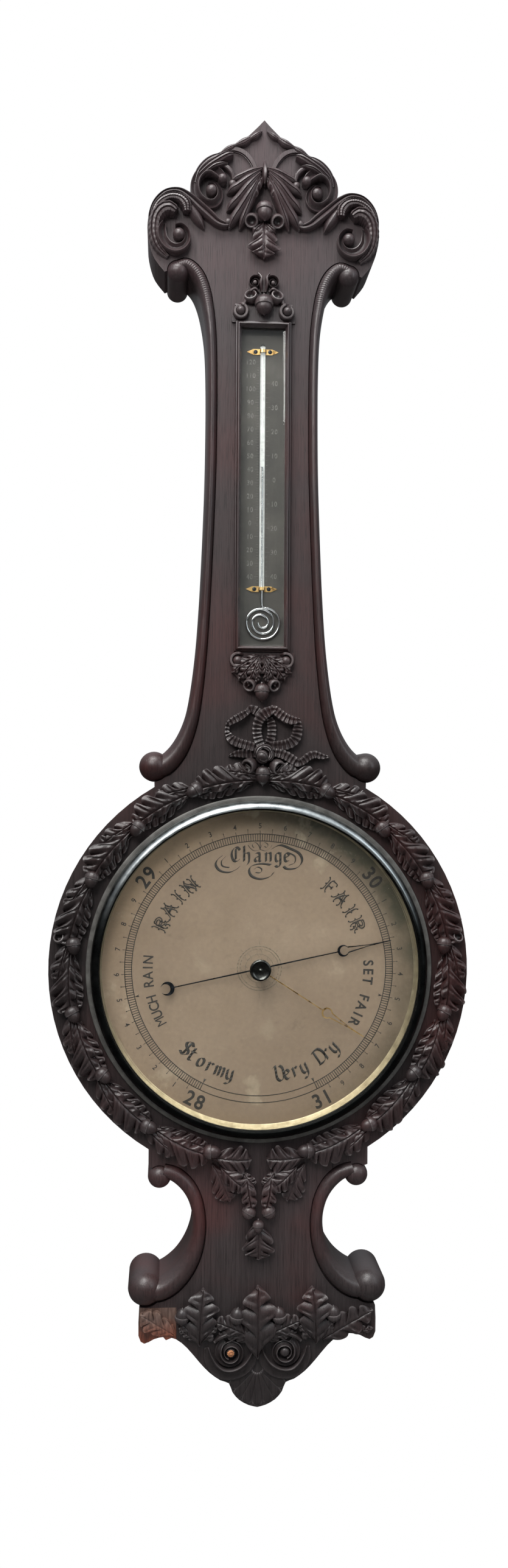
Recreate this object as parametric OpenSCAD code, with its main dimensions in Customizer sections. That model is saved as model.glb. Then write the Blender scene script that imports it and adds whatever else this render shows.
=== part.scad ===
// Carved oak banjo barometer with an aneroid movement and a spiral-bulb thermometer.
// Frame: +Z up, the front faces -Y, the wall is the plane y = 0, and the origin is
// where the dial's axis meets the wall. Lengths are millimetres. Depths "d" are
// measured out from the wall, so a depth d is y = -d.

/* [Case] */
// Radius of the round part of the case
body_r = 199; // [196:0.5:202]
// Depth of the flat front of the case from the wall
board_d = 56; // [55:0.5:58]
// How far the edge rolls stand proud of the front
roll_rise = 4; // [2:0.5:5]
// Height of the carved leaves above the front
leaf_rise = 9; // [6:0.5:11]
// Thickness of the round oak back cover
cover_t = 7; // [5:0.5:8]

/* [Dial] */
// Radius of the silvered dial plate, a 12 inch dial
dial_r = 152.4; // [151:0.1:152.8]
// Outside radius of the bezel
bezel_r = 164; // [162:0.5:166]
// Depth of the bezel's front lip from the wall
bezel_d = 72; // [71:0.5:74]
// Thickness of the bevelled dial glass
glass_t = 3.5; // [3:0.1:3.6]
// Reading of the indicating hand, degrees clockwise from the top
hand_deg = 78; // [-154:1:154]
// Place of the brass set hand, degrees clockwise from the top
set_deg = 123; // [-180:1:180]

/* [Thermometer] */
// Width of the thermometer frame
therm_w = 53; // [51:0.5:56]
// Height of the thermometer frame
therm_h = 313; // [305:1:316]
// Radius of the thermometer stem
tube_r = 2.5; // [2:0.1:2.8]

/* [Movement] */
// Radius of the vacuum capsule
capsule_r = 33; // [28:1:34]
// Radius of the movement's base plate
base_r = 63; // [62:0.5:66]
// Radius of the chain drum on the hand's arbor
drum_r = 1; // [0.95:0.05:1.2]

/* [Hidden] */
$fn = 64;
eps = 0.01;
OAK = [0.17, 0.13, 0.12];
OAK_CARVED = [0.22, 0.18, 0.16];
NEW_OAK = [0.42, 0.25, 0.15];
BRONZE = [0.16, 0.19, 0.20];
BRASS = [0.72, 0.56, 0.25];
SILVERED = [0.62, 0.56, 0.45];
BLUED = [0.14, 0.17, 0.20];
STEEL = [0.60, 0.61, 0.62];
IRON = [0.25, 0.25, 0.26];

// ---- Depths of the dial's layers ----
ledge_d = board_d - 6;             // ledge in the case that the dial plate lies on
dial_t = 1.5;
dial_front = ledge_d + dial_t;
glass_front = dial_front + 12;
glass_back = glass_front - glass_t;
hand_d = dial_front + 3;           // back of the indicating hand
set_hand_d = glass_back - 2.1;     // back of the set hand
ledge_r = 140;
rebate_r = dial_r + 4.6;           // front rebate that takes the bezel's spigot
cover_r = 156;
cover_ring = 148;                  // circle of the back cover's screws
cover_screw_r = 1.8;
knob_shaft_r = 1.5;

// ---- Movement ----
base_d = 13;                       // back of the base plate
base_t = 3;
base_top = base_d + base_t;
spring_d = 31;                     // back of the mainspring
spring_t = 2;
hinge_x = -44;                     // the mainspring bends about this line
link_x = 50;                       // link between the main lever and the rocking shaft
lever_x = 2;                       // the lever's crossbar, over the capsule's stud
link_r = 0.5;
link_hole_r = 1;
shaft_x = 54;                      // rocking shaft
shaft_d = 20;
shaft_r = 1.5;
shaft_half = 20;
pivot_r = 0.6;
chain_d = 42;
plate_lo_d = 37;                   // arbor's lower plate
plate_hi_d = 45;                   // arbor's upper plate
plate_t = 1.5;
arbor_r = 0.8;
post_z = 38;                       // posts of the lower plate
upper_post_z = 21;
pillar_ring = 53;
stud_r = 2.5;                      // threaded ends of the dial pillars
bridge_screw_z = 14;
bridge_screw_r = 1.5;
adjuster_r = 2.4;
running = 0.05;                    // running clearance of shafts in their bores

// ---- Outlines, as [x, z] or [x, z, width], for the right-hand side ----
crest_top = [[0, 806], [9.5, 796], [22.7, 784.5], [44.6, 773], [59.5, 761], [67.5, 749], [69.8, 736]];
crest_ear = [[70, 732.5], [79, 735], [90, 734], [101, 727], [108.5, 714], [110.5, 700],
             [108.5, 685], [103.5, 671], [94, 659]];
upper_roll = [[81.5, 664, 13], [73, 666.5, 13], [64, 659.5, 13], [57.5, 647, 12.5], [52.8, 628, 11.5],
              [49.4, 600, 10.4], [48.2, 560, 10], [48.2, 510, 10], [49, 462, 10], [51, 405, 10],
              [53.5, 350, 10.2], [56.8, 300, 11], [62, 255, 12.5], [68, 228, 14.5], [78, 206, 18],
              [91, 192, 21], [101, 191, 22]];
lower_roll = [[90, -190.5, 15], [78, -194.5, 16], [67, -204.5, 15.5], [59.5, -218, 14], [55.8, -235, 13],
              [56.2, -252, 13.6], [61, -270, 15.8], [70, -286, 18], [82, -298, 20], [94, -304, 20.5],
              [104, -302.5, 21]];
apron_edge = [[112, -320], [112.5, -345], [107, -352.5], [98, -348.5], [88, -346.5], [77, -349],
              [66.5, -357.5], [55, -371], [45.5, -381], [35, -388.5], [27, -391.5], [23.5, -400],
              [17, -407.5], [8, -412.5], [0, -414.5]];
upper_top_ball = [81.5, 660.5, 10.2];   // x, z, radius
upper_low_ball = [101, 191, 14.2];
lower_top_ball = [93.6, -196, 11];
lower_low_ball = [106.5, -302.5, 16.3];

function cat(a, b, c, d, t) =
    0.5 * (2 * b + (c - a) * t + (2 * a - 5 * b + 4 * c - d) * t * t + (3 * b - a - 3 * c + d) * t * t * t);
function smooth(p, n) = [
    for (i = [0 : len(p) - 2]) for (k = [0 : n - 1])
        cat(p[max(i - 1, 0)], p[i], p[i + 1], p[min(i + 2, len(p) - 1)], k / n),
    p[len(p) - 1]];
function tangent(p, i) =
    let (v = p[min(i + 1, len(p) - 1)] - p[max(i - 1, 0)]) [v[0], v[1]] / norm([v[0], v[1]]);
function edge(p, side, share) = [
    for (i = [0 : len(p) - 1])
        let (t = tangent(p, i)) [p[i][0], p[i][1]] + side * share * p[i][2] / 2 * [-t[1], t[0]]];
function reversed(p) = [for (i = [len(p) - 1 : -1 : 0]) p[i]];
function band(p, share) = concat(edge(p, 1, share), reversed(edge(p, -1, share)));
function flat(p) = [for (q = p) [q[0], q[1]]];
function flip(p) = [for (q = p) [-q[0], q[1]]];

upper_path = smooth(upper_roll, 4);
lower_path = smooth(lower_roll, 4);

// ---- Placing helpers ----
// Extrudes a drawing in x and z from depth d0 to depth d1.
module out(d0, d1) {
    translate([0, -d0, 0]) rotate([90, 0, 0]) linear_extrude(d1 - d0) children();
}
// Turns about an axis that comes out of the wall at [x, z]; children stand on depth d.
module at(x, z, d) {
    translate([x, -d, z]) rotate([90, 0, 0]) children();
}
module rod(x, z, d0, d1, r) {
    at(x, z, d0) cylinder(r = r, h = d1 - d0);
}
module ring(r_out, r_in, d0, d1) {
    difference() {
        rod(0, 0, d0, d1, r_out);
        rod(0, 0, d0 - 1, d1 + 1, r_in);
    }
}
module mirrored(side) {
    scale_x = side < 0 ? 1 : 0;
    mirror([scale_x, 0, 0]) children();
}
module both_sides() {
    mirrored(1) children();
    mirrored(-1) children();
}
// Turned piece: profile points are [radius, height out of the wall].
module turned(x, z, d, profile) {
    at(x, z, d) rotate_extrude() polygon(profile);
}
module dome(x, z, d, r, rise) {
    turned(x, z, d, [[0, 0], [r, 0], for (a = [15 : 15 : 75]) [r * cos(a), rise * sin(a)], [0, rise]]);
}
// Keeps what stands in front of the case's flat front.
module on_board() {
    intersection() {
        children();
        translate([-300, -board_d - 40, -500]) cube([600, 40, 1400]);
    }
}

// ---- Case ----
module roll_plan(path, top, low) {
    polygon(band(path, 1));
    translate([top[0], top[1]]) circle(top[2]);
    translate([low[0], low[1]]) circle(low[2]);
}
module upper_plan() roll_plan(upper_path, upper_top_ball, upper_low_ball);
module lower_plan() roll_plan(lower_path, lower_top_ball, lower_low_ball);

module half_board() {
    polygon(concat(
        smooth(crest_top, 3), smooth(crest_ear, 3), flat(upper_path),
        [[100, 150], [100, -160], [104, -168], [104, -186]], flat(lower_path),
        smooth(apron_edge, 2), [[0, 0]]));
}
module case_plan() {
    difference() {
        union() {
            half_board();
            mirror([1, 0]) half_board();
        }
        upper_plan();
        mirror([1, 0]) upper_plan();
        lower_plan();
        mirror([1, 0]) lower_plan();
        patch_square();
    }
}
module patch_square() {
    translate([-120, -356]) square([43, 37]);
}
module round_plan() {
    difference() {
        circle(body_r);
        upper_plan();
        mirror([1, 0]) upper_plan();
        lower_plan();
        mirror([1, 0]) lower_plan();
    }
}
module case_body() color(OAK) {
    difference() {
        union() {
            out(0, board_d) case_plan();
            out(0, board_d) round_plan();
        }
        rod(0, 0, -1, board_d + 1, ledge_r);
        rod(0, 0, ledge_d, board_d + 1, rebate_r);
        rod(0, 0, -1, cover_t, cover_r);
        // thermometer recess, hanging plate recess and the pocket behind its keyhole
        therm_box(5, therm_floor, board_d + 1);
        hanging_plate_box(-1);
        out(-1, 16) keyhole_plan(7, 11);
        for (z = plate_screw_z) rod(0, z, 0, 14, plate_screw_r);
        for (a = [45 : 90 : 315])
            rod(cover_ring * cos(a), cover_ring * sin(a), 0, 20, cover_screw_r);
    }
}
hole_z = 705;                      // keyhole for the screw in the wall
keyhole_r = 4.5;
hanging_plate_t = 2;
plate_screw_z = [690, 730];
plate_screw_r = 1.5;
module keyhole_plan(r, slot) {
    translate([0, hole_z]) circle(r);
    translate([-slot / 2, hole_z]) square([slot, 14]);
}
module hanging_plate_box(d0) {
    translate([-20, -hanging_plate_t, 680]) cube([40, hanging_plate_t - d0, 60]);
}
module hanging_plate() color(BRASS) difference() {
    hanging_plate_box(0);
    out(-1, 3) keyhole_plan(keyhole_r, 4.4);
    for (z = plate_screw_z) back_screw_hole(0, z, 3, plate_screw_r, 3);
}
// A countersunk screw whose flush head is on the wall side.
module back_screw(x, z, head_r, shank_r, shank) {
    difference() {
        union() {
            at(x, z, 0) cylinder(r1 = head_r, r2 = shank_r, h = head_r - shank_r);
            rod(x, z, 0, shank, shank_r);
        }
        translate([x - head_r, -0.6, z - 0.4]) cube([2 * head_r, 1.6, 0.8]);
    }
}
module back_screw_hole(x, z, head_r, shank_r, shank) {
    at(x, z, 0) cylinder(r1 = head_r, r2 = shank_r, h = head_r - shank_r);
    rod(x, z, -1, shank, shank_r);
}
module hanging_plate_screws() color(BRASS)
    for (z = plate_screw_z) back_screw(0, z, 3, plate_screw_r, 13);
module back_cover() color(OAK_CARVED) difference() {
    rod(0, 0, 0, cover_t, cover_r - 0.5);
    rod(hinge_x, 0, -1, cover_t + 1, 5);
    for (a = [45 : 90 : 315])
        back_screw_hole(cover_ring * cos(a), cover_ring * sin(a), 4, cover_screw_r, 20);
}
module back_cover_screws() color(BRASS) for (a = [45 : 90 : 315])
    back_screw(cover_ring * cos(a), cover_ring * sin(a), 4, cover_screw_r, 19);

// ---- Rolls along the edges ----
// A scroll's front is raised in one step, over share of its width.
module roll_top(path, top, low, share) {
    polygon(band(path, share));
    translate([top[0], top[1]]) circle(share * top[2]);
    translate([low[0], low[1]]) circle(share * low[2]);
}
module roll_upper(side) color(OAK) mirrored(side) {
    out(0, board_d) upper_plan();
    out(board_d, board_d + roll_rise) roll_top(upper_path, upper_top_ball, upper_low_ball, 0.7);
}
module roll_lower(side) color(OAK) mirrored(side) {
    out(0, board_d) lower_plan();
    out(board_d, board_d + roll_rise) roll_top(lower_path, lower_top_ball, lower_low_ball, 0.7);
}

// ---- Carving ----
function leaf_half(t, wid, lobes) =
    wid / 2 * pow(sin(180 * pow(t, 0.8)), 0.6) * (0.76 - 0.24 * cos(360 * lobes * t));
function leaf_side(len, wid, lobes, side) = [
    for (i = [1 : lobes * 4 - 1])
        let (t = i / (lobes * 4)) [len * t, side * max(0.6, leaf_half(t, wid, lobes))]];
// A lobed leaf from its base to its tip, flat on the front of the case.
module leaf(base, tip, wid, lobes, rise) {
    len = norm(tip - base);
    turn = atan2(tip[1] - base[1], tip[0] - base[0]);
    out(board_d, board_d + rise) translate(base) rotate(turn)
        polygon(concat([[0, 0.6]], leaf_side(len, wid, lobes, 1), [[len, 0]],
                       reversed(leaf_side(len, wid, lobes, -1)), [[0, -0.6]]));
}
// An acorn lying on the case: turn is the way its nut points, from +x towards +z.
module acorn(x, z, r, turn, lift = 0) {
    on_board() translate([x, -board_d - r * 0.55 - lift, z]) rotate([0, -turn, 0]) rotate([0, 90, 0])
        rotate_extrude() polygon([[0, -1.1 * r], [0.7 * r, -1.0 * r], [1.05 * r, -0.55 * r], [1.08 * r, -0.1 * r],
            [0.9 * r, 0], [0.92 * r, 0.5 * r], [0.7 * r, 1.1 * r], [0.3 * r, 1.45 * r], [0, 1.6 * r]]);
}
// An empty acorn cup that faces out of the case.
module cup(x, z, r, rise) {
    turned(x, z, board_d, [[0, 0], [r * 0.8, 0], [r, rise * 0.5], [r * 0.95, rise], [r * 0.7, rise],
                           [r * 0.6, rise * 0.5], [0, rise * 0.4]]);
}
// A scroll: the band thins as it winds in from radius r_out to r_in.
module volute(x, z, r_out, r_in, start, turns, wide, rise) {
    n = ceil(abs(turns) * 18);
    path = [for (i = [0 : n]) let (t = i / n, a = start + 360 * turns * t,
            r = r_out + (r_in - r_out) * pow(t, 0.8))
            [x + r * cos(a), z + r * sin(a), wide * (1 - 0.55 * t)]];
    out(board_d, board_d + rise) polygon(band(path, 1));
}

module crest_half_scrolls() {
    // S scroll from the middle leaf over the ear and round its volute
    ear = smooth([[31, 704, 5], [44, 703, 7], [56, 711, 8], [64, 724, 9], [78, 731, 9], [95, 727, 9],
                  [104.5, 712, 9], [104.5, 694, 9], [96, 680, 8], [83, 674.5, 7.5], [71, 680, 7],
                  [67, 692, 6], [73, 702, 5]], 3);
    out(board_d, board_d + leaf_rise) polygon(band(ear, 1));
    dome(79, 691, board_d, 6, 8);
    dome(50.4, 735, board_d, 6, 8);
    volute(50.4, 735, 15.5, 9, 100, 0.92, 6.5, leaf_rise - 1);
    // moulded arch above the upper volute
    arch = smooth([[10, 746, 4], [14, 757, 4], [24, 765, 4], [36, 765.5, 4]], 3);
    out(board_d, board_d + 3) polygon(band(arch, 1));
}
module crest_scrolls() color(OAK_CARVED) both_sides() crest_half_scrolls();
module crest_leaf_mass() {
    both_sides() {
        leaf([1, 763], [24, 702], 27, 4, leaf_rise);
        leaf([6, 748], [31, 722], 17, 3, leaf_rise - 1.5);
        leaf([27, 771], [66, 750], 13, 3, leaf_rise - 2);
        leaf([3, 797], [52, 764], 9, 3, 4);
    }
    leaf([0, 704], [0, 671.5], 29, 3, leaf_rise - 2);
}
// The leaves stop where the scrolls, the acorn and its cups are set into them.
module crest_leaves() color(OAK_CARVED) difference() {
    crest_leaf_mass();
    both_sides() {
        crest_half_scrolls();
        rod(crest_cup[0], crest_cup[1], board_d - 1, board_d + 20, crest_cup[2]);
    }
    crest_nut();
}
crest_cup = [12.5, 706, 5.6];      // x, z, radius
module crest_nut() {
    acorn(0, 717, 7.4, -90, 5);
}
module crest_acorn() color(OAK_CARVED) {
    crest_nut();
    both_sides() cup(crest_cup[0], crest_cup[1], crest_cup[2], leaf_rise + 1);
}
module thermometer_crown_carving() color(OAK_CARVED) {
    crown_base = 300 + therm_h;
    out(board_d, board_d + 5) polygon([[-31, crown_base + 0.5], [31, crown_base + 0.5], [29, 626], [16, 630],
        [16, 645], [13, 655], [4, 658], [-4, 658], [-13, 655], [-16, 645], [-16, 630], [-29, 626]]);
    both_sides() {
        turned(22.5, 621.5, board_d, [[0, 0], [7, 0], [7, 7], [4.6, 8.5], [4, 12], [0, 13]]);
        volute(8.6, 649.5, 5.4, 2.4, 90, 1, 2.6, leaf_rise);
    }
    both_sides() cup(12.8, 635.5, 5, 11);
    acorn(0, 628.5, 7.4, -90, 3);
}
module thermometer_foot_carving() color(OAK_CARVED) {
    out(board_d, board_d + 5) polygon([[-28, 299.5], [28, 299.5], [30, 292], [27, 280], [15, 270],
        [-15, 270], [-27, 280], [-30, 292]]);
    both_sides() {
        turned(22.7, 292.3, board_d, [[0, 0], [6.5, 0], [6.5, 7], [4.6, 8.5], [4, 11], [0, 12]]);
        leaf([0, 297], [25, 280], 14, 3, leaf_rise);
        leaf([0, 293], [14, 266], 10, 3, leaf_rise);
        cup(11.3, 269, 5, 10);
    }
    acorn(0, 263.5, 6.6, -90, 3);
}
// Ribbon: a flat band on edge, with hand-placed folds.
module ribbon(path, rise) {
    out(board_d, board_d + rise) polygon(band(smooth(path, 3), 1));
}
module ribbon_bow() color(OAK_CARVED) difference() {
    ribbon_loops();
    garland_knot();
}
module ribbon_loops() {
    ribbon([[-2, 211, 7], [-12, 211, 8], [-24, 212, 8], [-30, 219, 7], [-31, 229, 6], [-26, 235, 8],
            [-16, 238, 8], [-10, 244, 7], [-4, 245, 6]], 7);
    ribbon([[4, 211, 7], [18, 212, 8], [31, 217, 8], [34, 228, 7], [28, 235, 8], [19, 239, 8],
            [13, 245, 7], [4, 246, 6], [-3, 238, 7], [-5, 226, 7], [-1, 213, 7]], 8);
    ribbon([[4, 238, 5], [9, 230, 6], [8, 219, 7], [5, 211, 7]], 5);
    ribbon([[-8, 205, 5], [-18, 203, 6], [-30, 201.5, 2]], 5);
    ribbon([[10, 205, 6], [22, 203, 7], [32, 195, 6], [40, 197, 5], [46, 203, 6], [64, 201.5, 4]], 6);
}
module garland_knot() color(OAK_CARVED) {
    turned(2.5, 202.5, board_d, [[0, 0], [11, 0], [11.5, 6], [9, 10], [5, 12], [0, 12]]);
    cup(-12, 192, 5.6, 11);
    cup(15.5, 190.5, 6.4, 11);
    acorn(1.2, 182.5, 6.4, -90, 3);
}
// Garland: leaf pairs and acorns at even steps round the dial, from the top to the foot.
garland_r = 179;
garland_step = 20.7;
garland_units = 8;
function on_ring(a, r) = [r * sin(a), r * cos(a)];
module garland_leaf_pairs() {
    for (k = [0 : garland_units - 1]) {
        start = 3 + k * garland_step;
        leaf(on_ring(start + 2, garland_r + 2), on_ring(start + 14.8, garland_r + 4), 19, 4, leaf_rise);
        leaf(on_ring(start + 2, garland_r - 4), on_ring(start + 14.8, garland_r - 5.5), 15, 4, leaf_rise - 4);
    }
}
module garland_leaves(side) color(OAK_CARVED) mirrored(side) garland_leaf_pairs();
module garland_acorns(side) color(OAK_CARVED) mirrored(side) {
    for (k = [1 : garland_units]) {
        a = 0.6 + k * garland_step;
        p = on_ring(a, garland_r + (k % 2 == 0 ? -2 : 2));
        acorn(p[0], p[1], 5.8, -a - 20, 2.5);
    }
}
module garland_pendant() color(OAK_CARVED) {
    both_sides() {
        leaf([36, -186], [9, -181], 17, 3, leaf_rise);
        leaf([38, -188], [28, -219], 15, 3, leaf_rise - 4);
        leaf([17, -192], [5, -225], 15, 3, leaf_rise);
        acorn(9.5, -230, 5.2, -115, 1);
    }
    leaf([0, -247], [0, -273], 24, 2, leaf_rise - 4);
    acorn(0, -242, 4.6, -90, 4);
}
module apron_leaves() color(OAK_CARVED) {
    leaf([0, -367], [0, -299], 25, 4, leaf_rise);
    both_sides() {
        leaf([56, -353], [51, -301], 26, 3, leaf_rise);
        leaf([3, -346], [40, -331], 16, 3, leaf_rise - 2);
        leaf([58, -350], [78, -336], 13, 2, leaf_rise - 3);
    }
    leaf([72, -346], [108, -328], 20, 3, leaf_rise - 4);
}
module apron_acorns() color(OAK_CARVED) both_sides() {
    acorn(20.3, -322, 6.2, 95, 2);
    acorn(71.5, -321, 6, 95, 1);
}
module apron_volutes() color(OAK_CARVED) both_sides() {
    volute(25.5, -361, 18.5, 8.5, -10, -1.15, 6.5, leaf_rise);
    dome(25.5, -361, board_d, 5.6, 7);
}
module apron_shell() color(OAK_CARVED)
    for (k = [-3 : 3])
        leaf([0, -378], [28 * sin(k * 22), -378 - 33 * cos(k * 16) + 1.5 * abs(k)], 9, 1, 6 - 0.7 * abs(k));
module corner_patch() color(NEW_OAK) {
    out(0, board_d) intersection() {
        patch_square();
        difference() {
            mirror([1, 0]) half_board();
            mirror([1, 0]) lower_plan();
        }
    }
    leaf([-78, -344], [-108, -328], 19, 3, leaf_rise - 5);
}
module volute_button() color(NEW_OAK) dome(-25.5, -361, board_d + 7, 3, 2.5);

// ---- Thermometer ----
therm_z = 300;                     // bottom of the frame
recess_t = 8;
therm_floor = board_d - recess_t;  // floor of the recess that the scale plate lies in
therm_plate_t = 1.5;
plate_front = therm_floor + therm_plate_t;
frame_bar = 5.6;
frame_d = board_d + 9;
module frame_plan() {
    difference() {
        translate([-therm_w / 2, therm_z]) square([therm_w, therm_h]);
        translate([-therm_w / 2 + frame_bar, therm_z + frame_bar])
            square([therm_w - 2 * frame_bar, therm_h - 2 * frame_bar]);
    }
}
module therm_box(margin, d0, d1) {
    translate([-therm_w / 2 + margin, -d1, therm_z + margin])
        cube([therm_w - 2 * margin, d1 - d0, therm_h - 2 * margin]);
}
// Moulded frame, planted on the case, with a rebate at the back that holds the glass.
module thermometer_frame() color(OAK) difference() {
    union() {
        therm_box(0, board_d, frame_d - 3);
        therm_box(1.4, frame_d - 3, frame_d);
    }
    therm_box(frame_bar, board_d - 1, frame_d + 1);
    therm_box(frame_bar - 1, board_d - 1, board_d + 2.1);
    therm_box(frame_bar - 1.6, frame_d - 2, frame_d + 1);
}
module thermometer_glass() color([0.8, 0.85, 0.85, 0.35]) therm_box(frame_bar - 0.8, board_d, board_d + 2);
module thermometer_scale_plate() color([0.30, 0.31, 0.29])
    therm_box(5.2, therm_floor, plate_front);
tube_d = plate_front + tube_r;     // depth of the stem's axis
tube_low = 360;
tube_top = 594;
bulb_z = 328.7;
bulb_tube_r = 1.1;
spiral_r = 4.1;                    // radius of the innermost half turn
spiral_step = 2.6;                 // how much each half turn grows
neck_r = 14;                       // bend from the outer turn towards the middle
// An arc of tube about [x, z], from angle start counter-clockwise.
module tube_arc(x, z, r, start, angle) {
    at(x, z, tube_d) rotate([0, 0, start]) rotate_extrude(angle = angle)
        translate([r, 0]) circle(bulb_tube_r, $fn = 24);
}
module spiral_bulb() {
    for (k = [0 : 4])
        tube_arc((k % 2 == 0 ? 0.5 : -0.5) * spiral_step, bulb_z, spiral_r + k * spiral_step,
                 k % 2 == 0 ? 180 : 0, 180);
    right = spiral_r + 4.5 * spiral_step;
    bend = right - neck_r;
    tube_arc(bend, bulb_z, neck_r, 0, 90);
    tube_arc(bend, bulb_z + neck_r + bend, bend, 180, 90);
    translate([0, -tube_d, bulb_z + neck_r + bend])
        cylinder(r = bulb_tube_r, h = tube_low - bulb_z - neck_r - bend, $fn = 24);
}
module thermometer_tube() color([0.85, 0.88, 0.88, 0.5]) difference() {
    union() {
        translate([0, -tube_d, tube_low]) cylinder(r = tube_r, h = tube_top - tube_low);
        spiral_bulb();
    }
    translate([0, -tube_d, tube_low - 5]) cylinder(r = 0.5, h = tube_top - tube_low);
}
module thermometer_mercury() color([0.75, 0.76, 0.78])
    translate([0, -tube_d, tube_low - 5]) cylinder(r = 0.45, h = 122);
clip_heights = [360.8, 587];
clip_screw_x = 6.9;
clip_t = 0.8;
module clip_plan() {
    polygon([[-15.1, 0], [-9, 2.7], [9, 2.7], [15.1, 0], [9, -2.7], [-9, -2.7]]);
}
module tube_clips() color(BRASS) for (z = clip_heights) difference() {
    union() {
        translate([0, 0, z]) out(plate_front, plate_front + clip_t) clip_plan();
        translate([0, -tube_d, z - 1.4]) cylinder(r = tube_r + clip_t, h = 2.8);
    }
    translate([0, -tube_d, z - 3]) cylinder(r = tube_r, h = 6);
    translate([-tube_r, -tube_d, z - 3]) cube([2 * tube_r, tube_d, 6]);
    translate([-20, -plate_front, z - 3]) cube([40, plate_front, 6]);
    for (side = [-1, 1]) rod(side * clip_screw_x, z, therm_floor, plate_front + 4, 1);
}
module clip_screws() color(BLUED) for (z = clip_heights) for (side = [-1, 1]) {
    dome(side * clip_screw_x, z, plate_front + clip_t, 2, 0.9);
    rod(side * clip_screw_x, z, plate_front, plate_front + clip_t, 1);
}

// ---- Dial ----
module bezel() color(BRONZE) {
    flange_d = board_d + 4;
    bead_in = dial_r - 1.4;
    bead_out = 159.4;
    bead_half = (bead_out - bead_in) / 2;
    bead_base = flange_d + 1.5;
    turned(0, 0, 0, concat(
        [[dial_r + 0.9, dial_front + 0.5], [rebate_r - 0.2, dial_front + 0.5], [rebate_r - 0.2, board_d],
         [bezel_r, board_d], [bezel_r, flange_d - 0.8], [bezel_r - 0.8, flange_d], [bead_out, flange_d]],
        [for (a = [0 : 15 : 165]) [bead_in + bead_half * (1 + cos(a)), bead_base + (bezel_d - bead_base) * sin(a)]],
        [[bead_in, glass_front + 0.1], [dial_r + 0.9, glass_front + 0.1]]));
}
bevel_w = 6;
module dial_glass() color([0.85, 0.9, 0.88, 0.35]) difference() {
    union() {
        rod(0, 0, glass_back, glass_front - 1.5, dial_r + 0.7);
        at(0, 0, glass_front - 1.5) cylinder(r1 = dial_r + 0.7, r2 = dial_r + 0.7 - bevel_w, h = 1.5);
    }
    rod(0, 0, glass_back - 1, glass_front + 1, 2.2);
}
module glass_retaining_ring() color(BRASS) ring(dial_r + 0.8, dial_r - 2, glass_back - 2.4, glass_back);
module dial_plate() color(SILVERED) difference() {
    rod(0, 0, ledge_d, dial_front, dial_r);
    rod(0, 0, ledge_d - 1, dial_front + 1, 4);
}

// ---- Movement ----
function pillar_at(k) = on_ring(120 * k, pillar_ring);
module base_plate() color(BRASS) difference() {
    rod(0, 0, base_d, base_top, base_r);
    rod(0, 0, base_d - 1, base_top + 1, 4.1);
    rod(hinge_x, 0, base_d - 1, base_top + 1, adjuster_r + running);
    for (k = [0 : 2]) rod(pillar_at(k)[0], pillar_at(k)[1], base_d - 1, base_top + 1, stud_r + running);
    for (side = [-1, 1]) rod(hinge_x, side * bridge_screw_z, base_d - 1, base_top + 1, bridge_screw_r + running);
}
module dial_pillars() color(BRASS) for (k = [0 : 2]) {
    rod(pillar_at(k)[0], pillar_at(k)[1], base_top, ledge_d, 3.5);
    rod(pillar_at(k)[0], pillar_at(k)[1], base_d - 3, base_top, stud_r);
}
module pillar_nuts() color(STEEL) for (k = [0 : 2]) difference() {
    at(pillar_at(k)[0], pillar_at(k)[1], base_d - 2.5) cylinder(r = 4.5, h = 2.5, $fn = 6);
    rod(pillar_at(k)[0], pillar_at(k)[1], base_d - 4, base_d + 1, stud_r);
}
// Corrugated vacuum capsule with a stud on each side.
module capsule() color(SILVERED) {
    low = base_top + 2;
    high = base_top + 8;
    rings = [for (k = [4 : -1 : 0]) [capsule_r - 5 - 5 * k, k % 2 == 0 ? 0.4 : -0.6]];
    turned(0, 0, 0, concat(
        [[0, base_d - 2], [4, base_d - 2], [4, low]],
        [for (q = rings) [q[0], low + q[1]]],
        [[capsule_r, low + 2.6], [capsule_r, high - 2.6]],
        [for (i = [4 : -1 : 0]) [rings[i][0], high - rings[i][1]]],
        [[3, high], [3, spring_d], [0, spring_d]]));
}
module spring_bridge() color(IRON) difference() {
    translate([hinge_x - 5, -spring_d, -19]) cube([10, spring_d - base_top, 38]);
    translate([hinge_x - 6, -spring_d + 4, -9]) cube([12, spring_d - base_top - 3.9, 18]);
    for (side = [-1, 1]) rod(hinge_x, side * bridge_screw_z, base_top - 1, base_top + 7, bridge_screw_r);
}
module bridge_screws() color(STEEL) for (side = [-1, 1])
    screw_from_behind(hinge_x, side * bridge_screw_z, base_d, 3, 1.5, bridge_screw_r, base_t + 6);
// A cheese-headed screw that enters from the wall side at depth d.
module screw_from_behind(x, z, d, head_r, head_t, shank_r, shank) {
    difference() {
        union() {
            rod(x, z, d - head_t, d, head_r);
            rod(x, z, d, d + shank, shank_r);
        }
        translate([x - head_r - 1, -(d - head_t + 0.7), z - 0.4]) cube([2 * head_r + 2, 2, 0.8]);
    }
}
module mainspring() color(BLUED)
    translate([hinge_x - 4.5, -spring_d - spring_t, -15]) cube([58, spring_t, 30]);
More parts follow.
